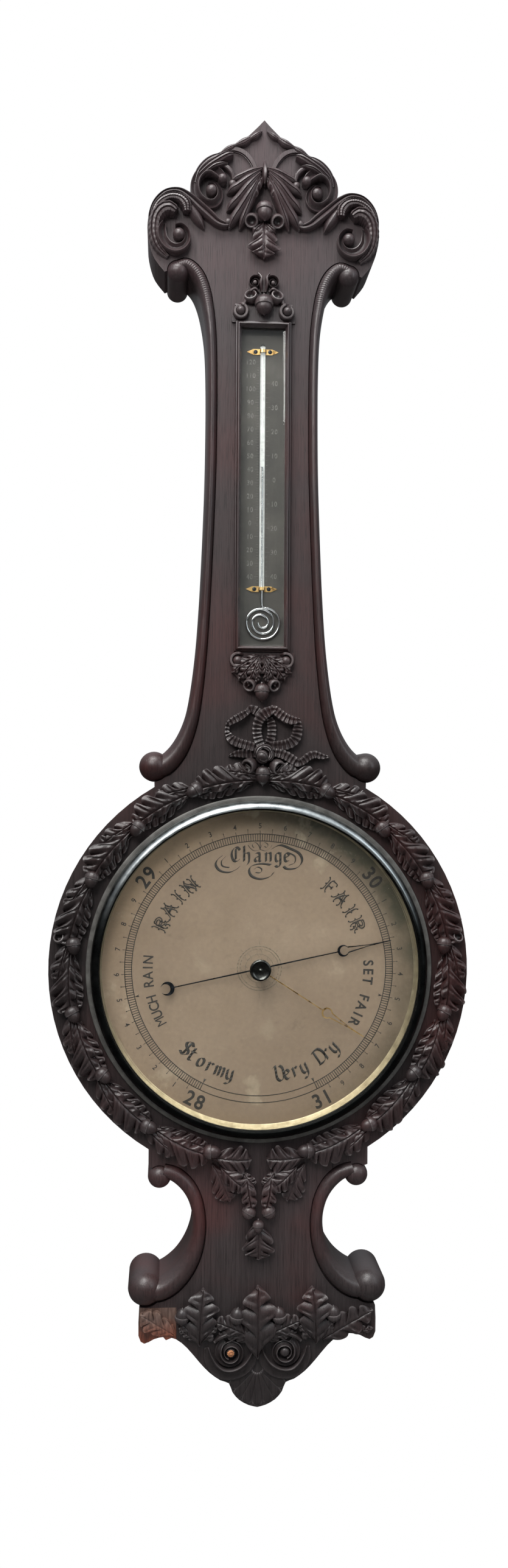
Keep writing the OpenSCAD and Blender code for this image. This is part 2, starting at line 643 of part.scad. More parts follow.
// The main lever's yoke straddles the mainspring and rocks on two pivots on the bridge.
module main_lever() color(STEEL) {
    back = spring_d + spring_t;
    yoke_z = 15.6;
    arm_t = 2;
    bar_w = 4;
    difference() {
        translate([lever_x, -back - 3, -3]) cube([link_x + 1.5 - lever_x, 3, 6]);
        rod(link_x, 0, back - 1, back + 4, link_hole_r);
    }
    translate([lever_x, -back - 3, -yoke_z - arm_t]) cube([bar_w, 3, 2 * (yoke_z + arm_t)]);
    both_yoke_sides() {
        translate([hinge_x, -back - 3, yoke_z]) cube([lever_x + bar_w - hinge_x, 4, arm_t]);
        translate([hinge_x, -spring_d - 1, yoke_z]) cylinder(r = 0.95, h = arm_t);
    }
}
module both_yoke_sides() {
    children();
    mirror([0, 0, 1]) children();
}
module connecting_link() color(STEEL) {
    rod(link_x, 0, shaft_d - 2.5, spring_d + spring_t + 3.2, link_r);
    rod(link_x, 0, spring_d + spring_t + 3.2, spring_d + spring_t + 3.8, 1.6);
}
module rocking_shaft() color(STEEL) {
    translate([shaft_x, -shaft_d, -shaft_half]) cylinder(r = shaft_r, h = 2 * shaft_half);
    translate([shaft_x, -shaft_d, -shaft_half - 2.5]) cylinder(r = pivot_r, h = 2 * shaft_half + 5);
    difference() {
        translate([link_x - 1.8, -shaft_d - 0.8, -1.8]) cube([shaft_x - link_x + 1.8, 1.6, 3.6]);
        rod(link_x, 0, shaft_d - 3, shaft_d + 3, link_hole_r);
    }
    translate([shaft_x - 1.2, -chain_d - 1.5, -2.5]) cube([2.4, chain_d + 1.5 - shaft_d, 3]);
}
module shaft_bracket() color(BRASS) for (side = [-1, 1]) difference() {
    translate([shaft_x - 3, -shaft_d - 4, side * (shaft_half + 2.1) - 1.5])
        cube([6, shaft_d + 4 - base_top, 3]);
    translate([shaft_x, -shaft_d, side * (shaft_half + 2.1) - 2]) cylinder(r = pivot_r + running, h = 4);
}
module arbor_posts() color(BRASS) for (side = [-1, 1]) {
    rod(0, side * post_z, base_top, plate_lo_d, 2.6);
    rod(0, side * upper_post_z, plate_lo_d + plate_t, plate_hi_d, 1.8);
}
module arbor_plate(d, half) {
    difference() {
        out(d, d + plate_t) translate([-5, -half]) square([10, 2 * half]);
        rod(0, 0, d - 1, d + plate_t + 1, arbor_r + running);
    }
}
module arbor_lower_plate() color(BRASS) arbor_plate(plate_lo_d, post_z + 4);
module arbor_upper_plate() color(BRASS) arbor_plate(plate_hi_d, upper_post_z + 3);
module hand_arbor() color(STEEL) {
    rod(0, 0, plate_lo_d + 0.1, hand_d + 2, arbor_r);
    rod(0, 0, chain_d - 1, chain_d + 1, drum_r);
}
module hairspring() color(BLUED) {
    coil = [for (i = [0 : 10 : 1080]) let (r = 1.6 + 5.4 * i / 1080) [r * cos(i), r * sin(i), 0.3]];
    out(plate_hi_d - 1.3, plate_hi_d - 0.7) polygon(band(coil, 1));
}
module chain() color(STEEL)
    translate([0.2, -chain_d - 0.3, -drum_r - 0.5]) cube([shaft_x - 1.6, 0.6, 0.4]);
module clockwise(deg) {
    rotate([0, deg, 0]) children();
}
// A loop that opens into a long pointed tip, both drawn as an outline.
module pointer_loop(z, r_out, r_in, shift, tip) {
    difference() {
        union() {
            translate([0, z]) circle(r_out);
            polygon([[-0.56 * r_out, z + 0.82 * r_out], [0.56 * r_out, z + 0.82 * r_out],
                     [0.9, z + 0.5 * (tip - z)], [0.35, tip - 1], [0, tip], [-0.35, tip - 1],
                     [-0.9, z + 0.5 * (tip - z)]]);
        }
        translate([0, z + shift]) circle(r_in);
        polygon([[-0.4 * r_out, z + 0.5 * r_in], [0.4 * r_out, z + 0.5 * r_in],
                 [0.25, z + 0.5 * (tip - z)], [0, z + 0.62 * (tip - z)], [-0.25, z + 0.5 * (tip - z)]]);
    }
}
// Indicating hand: points up before it is turned.
module indicating_hand() color(BLUED) clockwise(hand_deg) {
    difference() {
        union() {
            rod(0, 0, hand_d - 0.6, hand_d + 1.4, 3);
            out(hand_d, hand_d + 0.8)
                polygon([[-0.5, -83.6], [0.5, -83.6], [0.7, 0], [0.5, 77], [-0.5, 77], [-0.7, 0]]);
        }
        rod(0, 0, hand_d - 2, hand_d + 3, arbor_r);
    }
    out(hand_d, hand_d + 0.8) {
        pointer_loop(81.5, 5.6, 4.2, 1.1, 129);
        difference() {
            translate([0, -89]) circle(6.6);
            translate([0, -91]) circle(4.7);
            translate([-2.6, -98]) square([5.2, 5]);
        }
    }
}
// Set hand: a loop and a point, turned by the knob on the glass.
module set_hand() color(BRASS) clockwise(set_deg) {
    difference() {
        union() {
            rod(0, 0, set_hand_d - 0.3, set_hand_d + 0.9, 3);
            out(set_hand_d, set_hand_d + 0.6) polygon([[-0.5, 0], [0.5, 0], [0.4, 72], [-0.4, 72]]);
        }
        rod(0, 0, set_hand_d - 1, set_hand_d + 2, knob_shaft_r);
    }
    out(set_hand_d, set_hand_d + 0.6) pointer_loop(76.5, 5.2, 4, 0.4, 119);
}
module set_knob() color(BRONZE) {
    rod(0, 0, set_hand_d - 0.3, glass_front + 0.6, knob_shaft_r);
    turned(0, 0, glass_front + 0.25, [[0, 0], [8, 0], [10, 2], [10.3, 4], [9.6, 6], [8.6, 6.2], [6, 4.6],
        [2, 4.2], [1, 5], [0, 5.2]]);
}
module set_knob_nut() color(BRASS) difference() {
    rod(0, 0, glass_back - 1.1, glass_back - 0.2, 4.5);
    rod(0, 0, glass_back - 3, glass_back + 1, knob_shaft_r);
}
module adjusting_screw() color(STEEL) {
    head_t = 2.4;
    difference() {
        rod(hinge_x, 0, cover_t + 1.2, cover_t + 1.2 + head_t, 4);
        translate([hinge_x - 5, -cover_t - 2.2, -0.5]) cube([10, 2, 1]);
    }
    rod(hinge_x, 0, cover_t + 1.2 + head_t, spring_d - 4.1, adjuster_r);
}

case_body();
back_cover();
back_cover_screws();
hanging_plate();
hanging_plate_screws();
roll_upper(-1);  // roll_upper_left
roll_upper(1);  // roll_upper_right
roll_lower(-1);  // roll_lower_left
roll_lower(1);  // roll_lower_right
crest_scrolls();
crest_leaves();
crest_acorn();
thermometer_crown_carving();
thermometer_foot_carving();
ribbon_bow();
garland_knot();
garland_leaves(-1);  // garland_left_leaves
garland_leaves(1);  // garland_right_leaves
garland_acorns(-1);  // garland_left_acorns
garland_acorns(1);  // garland_right_acorns
garland_pendant();
apron_leaves();
apron_acorns();
apron_volutes();
apron_shell();
corner_patch();
volute_button();
thermometer_frame();
thermometer_glass();
thermometer_scale_plate();
thermometer_tube();
thermometer_mercury();
tube_clips();
clip_screws();
bezel();
dial_glass();
glass_retaining_ring();
dial_plate();
base_plate();
dial_pillars();
pillar_nuts();
capsule();
spring_bridge();
bridge_screws();
mainspring();
main_lever();
connecting_link();
rocking_shaft();
shaft_bracket();
arbor_posts();
arbor_lower_plate();
arbor_upper_plate();
hairspring();
chain();
hand_arbor();
indicating_hand();
set_hand();
set_knob();
set_knob_nut();
adjusting_screw();
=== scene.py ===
"""Looks of the carved oak banjo barometer. Lengths in the modelling code are millimetres:
x to the right, z up and d out of the wall, so d is minus the frame's y."""

import math

import bmesh
import bpy
import numpy as np
from mathutils import Matrix, Vector


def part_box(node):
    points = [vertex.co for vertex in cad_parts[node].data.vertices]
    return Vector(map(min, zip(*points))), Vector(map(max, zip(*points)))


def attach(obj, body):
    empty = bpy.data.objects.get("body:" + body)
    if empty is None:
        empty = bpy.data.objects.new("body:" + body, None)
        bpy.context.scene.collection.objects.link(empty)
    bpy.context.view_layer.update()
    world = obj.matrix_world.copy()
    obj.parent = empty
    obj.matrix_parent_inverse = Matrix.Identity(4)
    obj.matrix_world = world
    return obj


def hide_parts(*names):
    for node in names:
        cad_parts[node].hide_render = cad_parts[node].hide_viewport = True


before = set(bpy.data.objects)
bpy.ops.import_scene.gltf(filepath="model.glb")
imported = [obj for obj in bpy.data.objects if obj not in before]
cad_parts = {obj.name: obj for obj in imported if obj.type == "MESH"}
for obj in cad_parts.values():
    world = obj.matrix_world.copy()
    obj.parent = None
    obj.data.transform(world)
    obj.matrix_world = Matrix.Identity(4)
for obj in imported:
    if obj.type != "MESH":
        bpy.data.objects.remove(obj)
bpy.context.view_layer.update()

MM = 0.001


def span(node):
    """The node's lowest and highest x, z and d in millimetres."""
    low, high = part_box(node)
    return np.array([low.x, low.z, -high.y]) / MM, np.array([high.x, high.z, -low.y]) / MM


BOARD = span("case_body")[1][2]
DIAL = span("dial_plate")[1][2]
DIAL_R = span("dial_plate")[1][0]
GLASS_BACK, GLASS_FRONT = span("dial_glass")[0][2], span("dial_glass")[1][2]
BEZEL_R = span("bezel")[1][0]
BURY = 0.6  # how deep carved pieces sit in the case


# ---------------------------------------------------------------- shader helpers
class Graph:
    """Short ways to add nodes to a node tree."""

    def __init__(self, tree):
        self.tree = tree

    def add(self, kind, props=None, **inputs):
        node = self.tree.nodes.new(kind)
        for key, value in (props or {}).items():
            setattr(node, key, value)
        for key, value in inputs.items():
            self.feed(node.inputs[key.replace("_", " ")], value)
        return node

    def feed(self, socket, value):
        if isinstance(value, bpy.types.NodeSocket):
            self.tree.links.new(value, socket)
        else:
            socket.default_value = value

    def ramp(self, fac, stops):
        node = self.add("ShaderNodeValToRGB", Fac=fac)
        elements = node.color_ramp.elements
        while len(elements) < len(stops):
            elements.new(0.5)
        for element, (place, colour) in zip(elements, stops):
            element.position = place
            c = (colour,) * 3 if isinstance(colour, (int, float)) else colour
            element.color = (*c, 1)
        return node.outputs["Color"]

    def mix(self, fac, a, b, blend="MIX"):
        node = self.add("ShaderNodeMix", {"data_type": "RGBA", "blend_type": blend})
        self.feed(node.inputs[0], fac)
        for index, value in ((6, a), (7, b)):
            if not isinstance(value, bpy.types.NodeSocket):
                value = (*value, 1) if len(value) == 3 else value
            self.feed(node.inputs[index], value)
        return node.outputs[2]

    def math(self, op, a, b=0.0, clamp=False):
        node = self.add("ShaderNodeMath", {"operation": op, "use_clamp": clamp})
        self.feed(node.inputs[0], a)
        self.feed(node.inputs[1], b)
        return node.outputs[0]

    def times(self, a, b, clamp=False):
        return self.math("MULTIPLY", a, b, clamp)

    def plus(self, a, b):
        return self.math("ADD", a, b)

    def remap(self, value, low, high, to_low=0.0, to_high=1.0):
        limits = {"From_Min": low, "From_Max": high, "To_Min": to_low, "To_Max": to_high}
        return self.add("ShaderNodeMapRange", {"interpolation_type": "SMOOTHSTEP"}, Value=value,
            **limits).outputs["Result"]

    def mix_shaders(self, fac, a, b):
        node = self.add("ShaderNodeMixShader")
        for index, value in enumerate((fac, a, b)):
            self.feed(node.inputs[index], value)
        return node.outputs[0]


class Paint(Graph):
    """A material with a Principled node. Numbers that don't vary go straight on its sockets."""

    def __init__(self, name, **values):
        self.mat = bpy.data.materials.new(name)
        self.mat.use_nodes = True
        super().__init__(self.mat.node_tree)
        self.bsdf = self.tree.nodes["Principled BSDF"]
        for key, value in values.items():
            self.bsdf.inputs[key.replace("_", " ")].default_value = value
        self.coord = self.add("ShaderNodeTexCoord").outputs["Object"]

    def noise(self, scale, stretch=(1, 1, 1), detail=3, roughness=0.55, offset=(0, 0, 0)):
        vec = self.add("ShaderNodeMapping", Vector=self.coord, Scale=stretch,
            Location=offset).outputs["Vector"]
        node = self.add("ShaderNodeTexNoise", Vector=vec, Scale=scale, Detail=detail, Roughness=roughness)
        return node.outputs["Fac"]

    def ridge(self):
        """How far each point stands out: see ridge_values."""
        return self.add("ShaderNodeAttribute", {"attribute_name": "ridge"}).outputs["Fac"]

    def axes(self):
        node = self.add("ShaderNodeSeparateXYZ", Vector=self.coord)
        return node.outputs["X"], node.outputs["Y"], node.outputs["Z"]

    def bump(self, height, strength, distance_mm):
        node = self.add("ShaderNodeBump", Height=height, Strength=strength, Distance=distance_mm * MM)
        self.feed(self.bsdf.inputs["Normal"], node.outputs["Normal"])

    def colour(self, value):
        self.feed(self.bsdf.inputs["Base Color"], value)

    def rough(self, value):
        self.feed(self.bsdf.inputs["Roughness"], value)


def scaled(colour, k):
    return tuple(c * k for c in colour)


# ---------------------------------------------------------------- materials
# the old oak's colours by height, from the apron at 0 to the crest at 1: partly its own tone and partly
# painted light and shade down the case
OAK_TONE_AND_LIGHT = [(0.02, (0.034, 0.031, 0.0315)), (0.09, (0.042, 0.037, 0.0375)), (0.17, (0.06, 0.046, 0.047)),
    (0.25, (0.036, 0.028, 0.0285)), (0.36, (0.022, 0.0165, 0.0165)), (0.46, (0.024, 0.0175, 0.0175)),
    (0.55, (0.034, 0.024, 0.024)), (0.78, (0.046, 0.036, 0.038)), (1.0, (0.062, 0.055, 0.061))]
OAK_FOOT, OAK_TOP = -0.42, 0.8  # metres
CRACK_X, CRACK_HALF, CRACK_TOP, CRACK_FOOT = 0.0712, 0.00045, -0.146, -0.204  # metres


def oak(name, tone, worn=0.0, crack=False):
    """Old stained oak: vertical grain and pores, redder and darker places, one crack. Its colour by height is
    partly painted light; ridges are paler, partly wear and partly painted highlight, and hollows darker as
    painted shade.
    """
    p = Paint(name)
    x, _, z = p.axes()
    grain = p.noise(1.0, (760, 760, 15), 4, 0.6)
    pores = p.ramp(p.noise(1.0, (1500, 1500, 42), 2, 0.5, (3, 1, 0)), [(0.56, 1.0), (0.64, 0.0)])
    cloud = p.noise(7.0, detail=3)
    height = p.add("ShaderNodeMapRange", Value=z, From_Min=OAK_FOOT, From_Max=OAK_TOP).outputs["Result"]
    # colour by height: the wood's tone together with painted light and shade
    wood = p.ramp(height, [(place, scaled(colour, tone)) for place, colour in OAK_TONE_AND_LIGHT])
    lower = p.remap(z, 0.15, 0.75, 1.0, 0.22)
    redder = p.times(p.remap(cloud, 0.42, 0.66, 0.0, 0.85), lower)
    wood = p.mix(redder, wood, (1.9, 0.82, 0.76), "MULTIPLY")
    wood = p.mix(1.0, wood, (0.7, 0.6, 0.6), "MULTIPLY")
    streak = p.ramp(grain, [(0.3, 0.8), (0.7, 1.22)])
    wood = p.mix(1.0, wood, streak, "MULTIPLY")
    open_pores = p.times(p.math("SUBTRACT", 1.0, pores), 0.45)
    wood = p.mix(open_pores, wood, (0.005, 0.004, 0.004))
    if worn:
        ridge = p.ridge()
        rub_and_sheen = p.noise(55.0, detail=4)
        high = p.times(p.remap(ridge, 0.54, 0.8, 0.0, worn), p.remap(rub_and_sheen, 0.35, 0.62, 0.45, 1.0))
        deep = p.remap(ridge, 0.24, 0.48, 0.92, 0.0)
        # ridges paler: partly wear, partly painted highlight
        wood = p.mix(high, wood, (0.23, 0.208, 0.208))
        # hollows darker: painted shade
        wood = p.mix(deep, wood, (0.0035, 0.003, 0.003))
    if crack:
        wander = p.times(p.math("SUBTRACT", p.noise(60.0), 0.5), 0.004)
        off = p.math("ABSOLUTE", p.math("SUBTRACT", p.plus(x, wander), CRACK_X))
        within = p.times(p.math("LESS_THAN", z, CRACK_TOP), p.math("GREATER_THAN", z, CRACK_FOOT))
        line = p.times(p.math("LESS_THAN", off, CRACK_HALF), within)
        wood = p.mix(line, wood, (0.002, 0.002, 0.002))
    p.colour(wood)
    gloss = 1.0 if worn else 0.0
    p.rough(p.remap(grain, 0.2, 0.8, 0.5 - 0.16 * gloss, 0.64 - 0.16 * gloss))
    p.bump(p.plus(grain, p.times(pores, 0.8)), 0.45, 0.25)
    p.bsdf.inputs["Specular IOR Level"].default_value = 0.42
    p.bsdf.inputs["Coat Weight"].default_value = 0.04 + 0.18 * gloss
    p.bsdf.inputs["Coat Roughness"].default_value = 0.28
    return p.mat


def new_oak(name, carved):
    """The repair's lighter oak, orange at the lower edge. The carved leaf on it is darker in its cuts, as
    painted shade, and paler on its ridges, as painted highlight.
    """
    p = Paint(name)
    grain = p.noise(1.0, (600, 600, 60), 4, 0.6)
    low = p.remap(p.axes()[2], -0.352, -0.325, 1.0, 0.0)
    wood = p.ramp(grain, [(0.25, (0.03, 0.014, 0.01)), (0.5, (0.095, 0.055, 0.042)),
        (0.8, (0.17, 0.108, 0.085))])
    warm = p.mix(low, wood, (1.9, 0.72, 0.34), "MULTIPLY")
    stain = p.remap(p.noise(45.0, detail=4), 0.5, 0.72, 0.0, 0.75)
    warm = p.mix(stain, warm, (0.03, 0.018, 0.015))
    if carved:
        ridge = p.ridge()
        # painted shade in the cuts, then painted highlight on the ridges
        warm = p.mix(p.remap(ridge, 0.3, 0.5, 0.9, 0.0), warm, (0.008, 0.005, 0.004))
        warm = p.mix(p.remap(ridge, 0.55, 0.8, 0.0, 0.35), warm, (0.33, 0.21, 0.16))
    p.colour(warm)
    p.rough(p.remap(grain, 0.2, 0.8, 0.5, 0.65))
    p.bump(grain, 0.5, 0.3)
    return p.mat


def fresh_wood():
    """Torn bare wood of the broken button."""
    p = Paint("fresh_broken_wood", Roughness=0.7)
    speck = p.noise(900.0, detail=4)
    p.colour(p.ramp(speck, [(0.3, (0.1, 0.03, 0.012)), (0.6, (0.48, 0.2, 0.08)),
        (0.8, (0.72, 0.42, 0.22))]))
    p.bump(speck, 0.8, 0.4)
    return p.mat


def silvered():
    """Silvered dial: grey-tan in the middle, browner and darker towards the rim at the top, as painted shade.
    """
    p = Paint("silvered_dial", Metallic=0.22)
    x, _, z = p.axes()
    radius = p.math("SQRT", p.plus(p.times(x, x), p.times(z, z)))
    fine = p.noise(260.0, detail=6, roughness=0.7)
    patches = p.noise(26.0, detail=5, roughness=0.6, offset=(0.2, 0, 0.4))
    broad = p.noise(8.0, detail=3)
    base = p.ramp(broad, [(0.3, (0.192, 0.138, 0.096)), (0.6, (0.226, 0.165, 0.116)),
        (0.8, (0.262, 0.197, 0.141))])
    rim = p.remap(radius, 0.112, 0.15)
    up = p.remap(z, -0.06, 0.13)
    brown = p.ramp(broad, [(0.3, (0.31, 0.21, 0.126)), (0.7, (0.41, 0.29, 0.182))])
    olive = p.ramp(broad, [(0.3, (0.034, 0.032, 0.019)), (0.7, (0.062, 0.055, 0.034))])
    side = p.remap(x, -0.09, 0.06)
    dark = p.mix(side, brown, olive)
    right = p.times(p.remap(x, 0.02, 0.14), 0.45)
    # painted shade towards the rim, most at the top and on the right, brown on the left and olive on the
    # right
    shade = p.times(rim, p.plus(p.plus(p.times(up, 0.74), right), 0.05))
    shade = p.times(shade, p.remap(patches, 0.3, 0.62, 0.65, 1.2), clamp=True)
    base = p.mix(shade, base, dark)
    pale = p.remap(patches, 0.6, 0.7, 0.0, 0.42)
    pale = p.times(pale, p.remap(radius, 0.05, 0.12, 0.45, 1.0))
    base = p.mix(pale, base, (0.36, 0.3, 0.215))
    stains = p.remap(p.noise(70.0, detail=5, roughness=0.65, offset=(4, 2, 7)), 0.6, 0.78, 0.0, 0.45)
    base = p.mix(stains, base, (0.11, 0.082, 0.052))
    specks = p.remap(p.noise(900.0, detail=2, offset=(7, 0, 2)), 0.73, 0.8, 0.0, 0.55)
    base = p.mix(specks, base, (0.46, 0.41, 0.33))
    base = p.mix(0.5, base, p.ramp(fine, [(0.25, 0.8), (0.75, 1.16)]), "MULTIPLY")
    p.colour(base)
    p.rough(p.remap(patches, 0.3, 0.7, 0.38, 0.56))
    p.bump(fine, 0.12, 0.06)
    return p.mat


def metal(name, colours, roughness, scale=160.0, bump=0.1, metallic=1.0, painted_light=None, heights=(0.03, 0.13)):
    """Metal with a mottled colour and a roughness that follows it.

    Its brightness may be given at the two heights, in metres from the dial's axis: painted light and shade,
    the colour scaled by height."""
    p = Paint(name, Metallic=metallic)
    tarnish = p.noise(scale, (1, 1, 1), 5, 0.62)
    colour = p.ramp(tarnish, list(zip((0.28, 0.5, 0.74), colours)))
    # painted light and shade: the colour is made lighter or darker by height
    if painted_light:
        colour = p.mix(1.0, colour, p.remap(p.axes()[2], *heights, *painted_light), "MULTIPLY")
    p.colour(colour)
    p.rough(p.remap(tarnish, 0.3, 0.7, roughness[0], roughness[1]))
    p.bump(tarnish, bump, 0.1)
    return p.mat


def clear(name, tint, ior=1.45, roughness=0.02):
    """Clear glass that lets lamps through to what is behind it."""
    p = Paint(name, Transmission_Weight=1.0, IOR=ior, Roughness=roughness)
    dust = p.noise(300.0, detail=4)
    p.colour(p.ramp(dust, [(0.3, scaled(tint, 0.97)), (0.7, tint)]))
    through = p.add("ShaderNodeBsdfTransparent", Color=(*tint, 1)).outputs[0]
    shadow = p.add("ShaderNodeLightPath").outputs["Is Shadow Ray"]
    surface = p.tree.nodes["Material Output"].inputs["Surface"]
    p.feed(surface, p.mix_shaders(shadow, p.bsdf.outputs[0], through))
    return p.mat


def engraving(name, dark, pale):
    """Wax or enamel, uneven between two colours."""
    p = Paint(name, Roughness=0.6)
    p.colour(p.ramp(p.noise(420.0, detail=3), [(0.3, dark), (0.75, pale)]))
    return p.mat


def dark_plate():
    """Oxidised scale plate: grey-green, with faint vertical brushing and pale blooms."""
    p = Paint("scale_plate", Metallic=0.35, Roughness=0.5)
    brush = p.noise(1.0, (900, 900, 60), 4)
    bloom = p.noise(34.0, detail=4)
    base = p.ramp(bloom, [(0.3, (0.026, 0.024, 0.021)), (0.6, (0.042, 0.038, 0.033)),
        (0.8, (0.064, 0.058, 0.051))])
    p.colour(p.mix(0.6, base, p.ramp(brush, [(0.3, 0.82), (0.7, 1.15)]), "MULTIPLY"))
    p.bump(brush, 0.15, 0.08)
    return p.mat


OAK = oak("old_oak", 0.92, crack=True)
# the rolls and carving get paler ridges, partly wear and partly painted highlight, and darker hollows as
# painted shade
OAK_ROLL = oak("roll_oak", 0.95, worn=0.2)
OAK_CARVED = oak("carved_oak", 0.9, worn=0.5)
NEW_OAK = new_oak("new_oak", False)
NEW_OAK_LEAF = new_oak("new_oak_leaf", True)
BROKEN = fresh_wood()
# painted shade and reflection: the bead's bronze is painted nearly black below the top of the ring
BRONZE = metal("oxidised_bronze_painted_shade", [(0.31, 0.34, 0.343), (0.42, 0.458, 0.465), (0.55, 0.585, 0.585)],
    (0.26, 0.38), 90, painted_light=(0.06, 1.0))
# painted shade: near-black bronze for the bezel's inner wall, so that its edge shows no light
SHADE_BRONZE = metal("bronze_painted_shade", [(0.004, 0.005, 0.005), (0.008, 0.009, 0.009), (0.014, 0.015, 0.014)],
    (0.5, 0.7), 90)
DARK_BRONZE = metal("knob_bronze", [(0.045, 0.048, 0.045), (0.075, 0.078, 0.072), (0.11, 0.112, 0.1)],
    (0.2, 0.3), 200)
FLANGE = metal("bronze_flange", [(0.088, 0.086, 0.08), (0.125, 0.122, 0.114), (0.17, 0.167, 0.157)],
    (0.42, 0.55), 120, metallic=0.6)
# painted highlight: the sight ring is painted up to about twice as bright at the bottom of the ring
GILT = metal("pale_gilt", [(0.13, 0.102, 0.06), (0.21, 0.174, 0.108), (0.3, 0.252, 0.165)], (0.45, 0.6),
    120, metallic=0.3, painted_light=(2.2, 0.75), heights=(-0.14, -0.04))
SILVERED = silvered()
PLATE = dark_plate()
BRASS = metal("brass", [(0.5, 0.27, 0.08), (0.72, 0.46, 0.17), (0.8, 0.58, 0.28)], (0.24, 0.4))
BLUED = metal("blued_steel", [(0.012, 0.014, 0.018), (0.022, 0.026, 0.034), (0.05, 0.055, 0.06)],
    (0.25, 0.4), 300)
STEEL = metal("steel", [(0.42, 0.42, 0.43), (0.52, 0.53, 0.54), (0.6, 0.6, 0.61)], (0.28, 0.42), 400)
IRON = metal("black_iron", [(0.02, 0.02, 0.02), (0.035, 0.035, 0.036), (0.06, 0.06, 0.06)], (0.5, 0.7), 500,
    0.4, 0.4)
NICKEL = metal("nickel_silver", [(0.45, 0.43, 0.37), (0.58, 0.56, 0.49), (0.64, 0.62, 0.55)], (0.26, 0.38),
    300)
MERCURY = metal("mercury", [(0.7, 0.71, 0.73), (0.78, 0.79, 0.8), (0.84, 0.84, 0.85)], (0.05, 0.12), 200,
    0.02)
GLASS = clear("clear_glass", (0.97, 0.985, 0.975))
TUBE_GLASS = clear("tube_glass", (0.96, 0.97, 0.97), 1.47, 0.06)
INK = engraving("engraving_wax", (0.006, 0.005, 0.004), (0.026, 0.021, 0.016))
FAINT = engraving("worn_engraving", (0.11, 0.088, 0.06), (0.19, 0.155, 0.11))
PLATE_INK = engraving("plate_engraving", (0.035, 0.035, 0.03), (0.16, 0.155, 0.14))

SLOT_PAINT = {"oak": OAK, "carved_oak": OAK_CARVED, "new_oak": NEW_OAK, "bronze": BRONZE,
    "gilt_brass": GILT, "silvered_brass": SILVERED, "scale_plate": PLATE, "brass": BRASS,
    "blued_steel": BLUED, "steel": STEEL, "iron": IRON, "nickel_silver": NICKEL, "mercury": MERCURY,
    "glass": GLASS}
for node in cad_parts.values():
    for index, slot_material in enumerate(node.data.materials):
        node.data.materials[index] = SLOT_PAINT[slot_material.name.split(".")[0]]


# ---------------------------------------------------------------- mesh helpers
def new_object(name, data):
    obj = bpy.data.objects.new(name, data)
    bpy.context.scene.collection.objects.link(obj)
    return obj


def smooth_path(points, per=6):
    """Catmull-Rom through the points; every column is carried along."""
    p = np.asarray(points, float)
    out = []
    for i in range(len(p) - 1):
        a, b, c, d = p[max(i - 1, 0)], p[i], p[i + 1], p[min(i + 2, len(p) - 1)]
        for k in range(per):
            t = k / per
            cubic = (3 * b - a - 3 * c + d) * t**3
            out.append(0.5 * (2 * b + (c - a) * t + (2 * a - 5 * b + 4 * c - d) * t * t + cubic))
    out.append(p[-1])
    return np.array(out)


def distances(path):
    """How far along the path each of its points is."""
    return np.concatenate([[0], np.cumsum(np.linalg.norm(np.diff(path[:, :2], axis=0), axis=1))])


def side_normals(xz):
    tangent = np.gradient(xz, axis=0)
    tangent /= np.linalg.norm(tangent, axis=1)[:, None] + 1e-9
    return np.stack([-tangent[:, 1], tangent[:, 0]], 1)


def read_rows(collection, key, width, kind=float):
    rows = np.empty(len(collection) * width, kind)
    collection.foreach_get(key, rows)
    return rows.reshape(-1, width)


def ridge_values(mesh):
    """About 0.5 on flat places, more on convex ridges and less in hollows."""
    count = len(mesh.vertices)
    co, normal = read_rows(mesh.vertices, "co", 3), read_rows(mesh.vertices, "normal", 3)
    edges = read_rows(mesh.edges, "vertices", 2, int)
    total, degree, length = np.zeros((count, 3)), np.zeros(count), np.zeros(count)
    step = np.linalg.norm(co[edges[:, 0]] - co[edges[:, 1]], axis=1)
    for a, b in ((0, 1), (1, 0)):
        np.add.at(total, edges[:, a], co[edges[:, b]])
        np.add.at(degree, edges[:, a], 1)
        np.add.at(length, edges[:, a], step)
    degree = np.maximum(degree, 1)
    step = length / degree + 1e-9
    bend = np.einsum("ij,ij->i", total / degree[:, None] - co, normal) / step
    value = np.clip(0.5 - 0.9 * bend / (step / MM) ** 0.7, 0, 1)
    for _ in range(2):
        near = np.zeros(count)
        for a, b in ((0, 1), (1, 0)):
            np.add.at(near, edges[:, a], value[edges[:, b]])
        value = 0.5 * value + 0.5 * near / degree
    return value


def aim(heading, tilt):
    """The unit vector that points to heading, from +x towards +z, and tilt degrees out of the case."""
    a, b = math.radians(heading), math.radians(tilt)
    return math.cos(a) * math.cos(b), math.sin(a) * math.cos(b), math.sin(b)


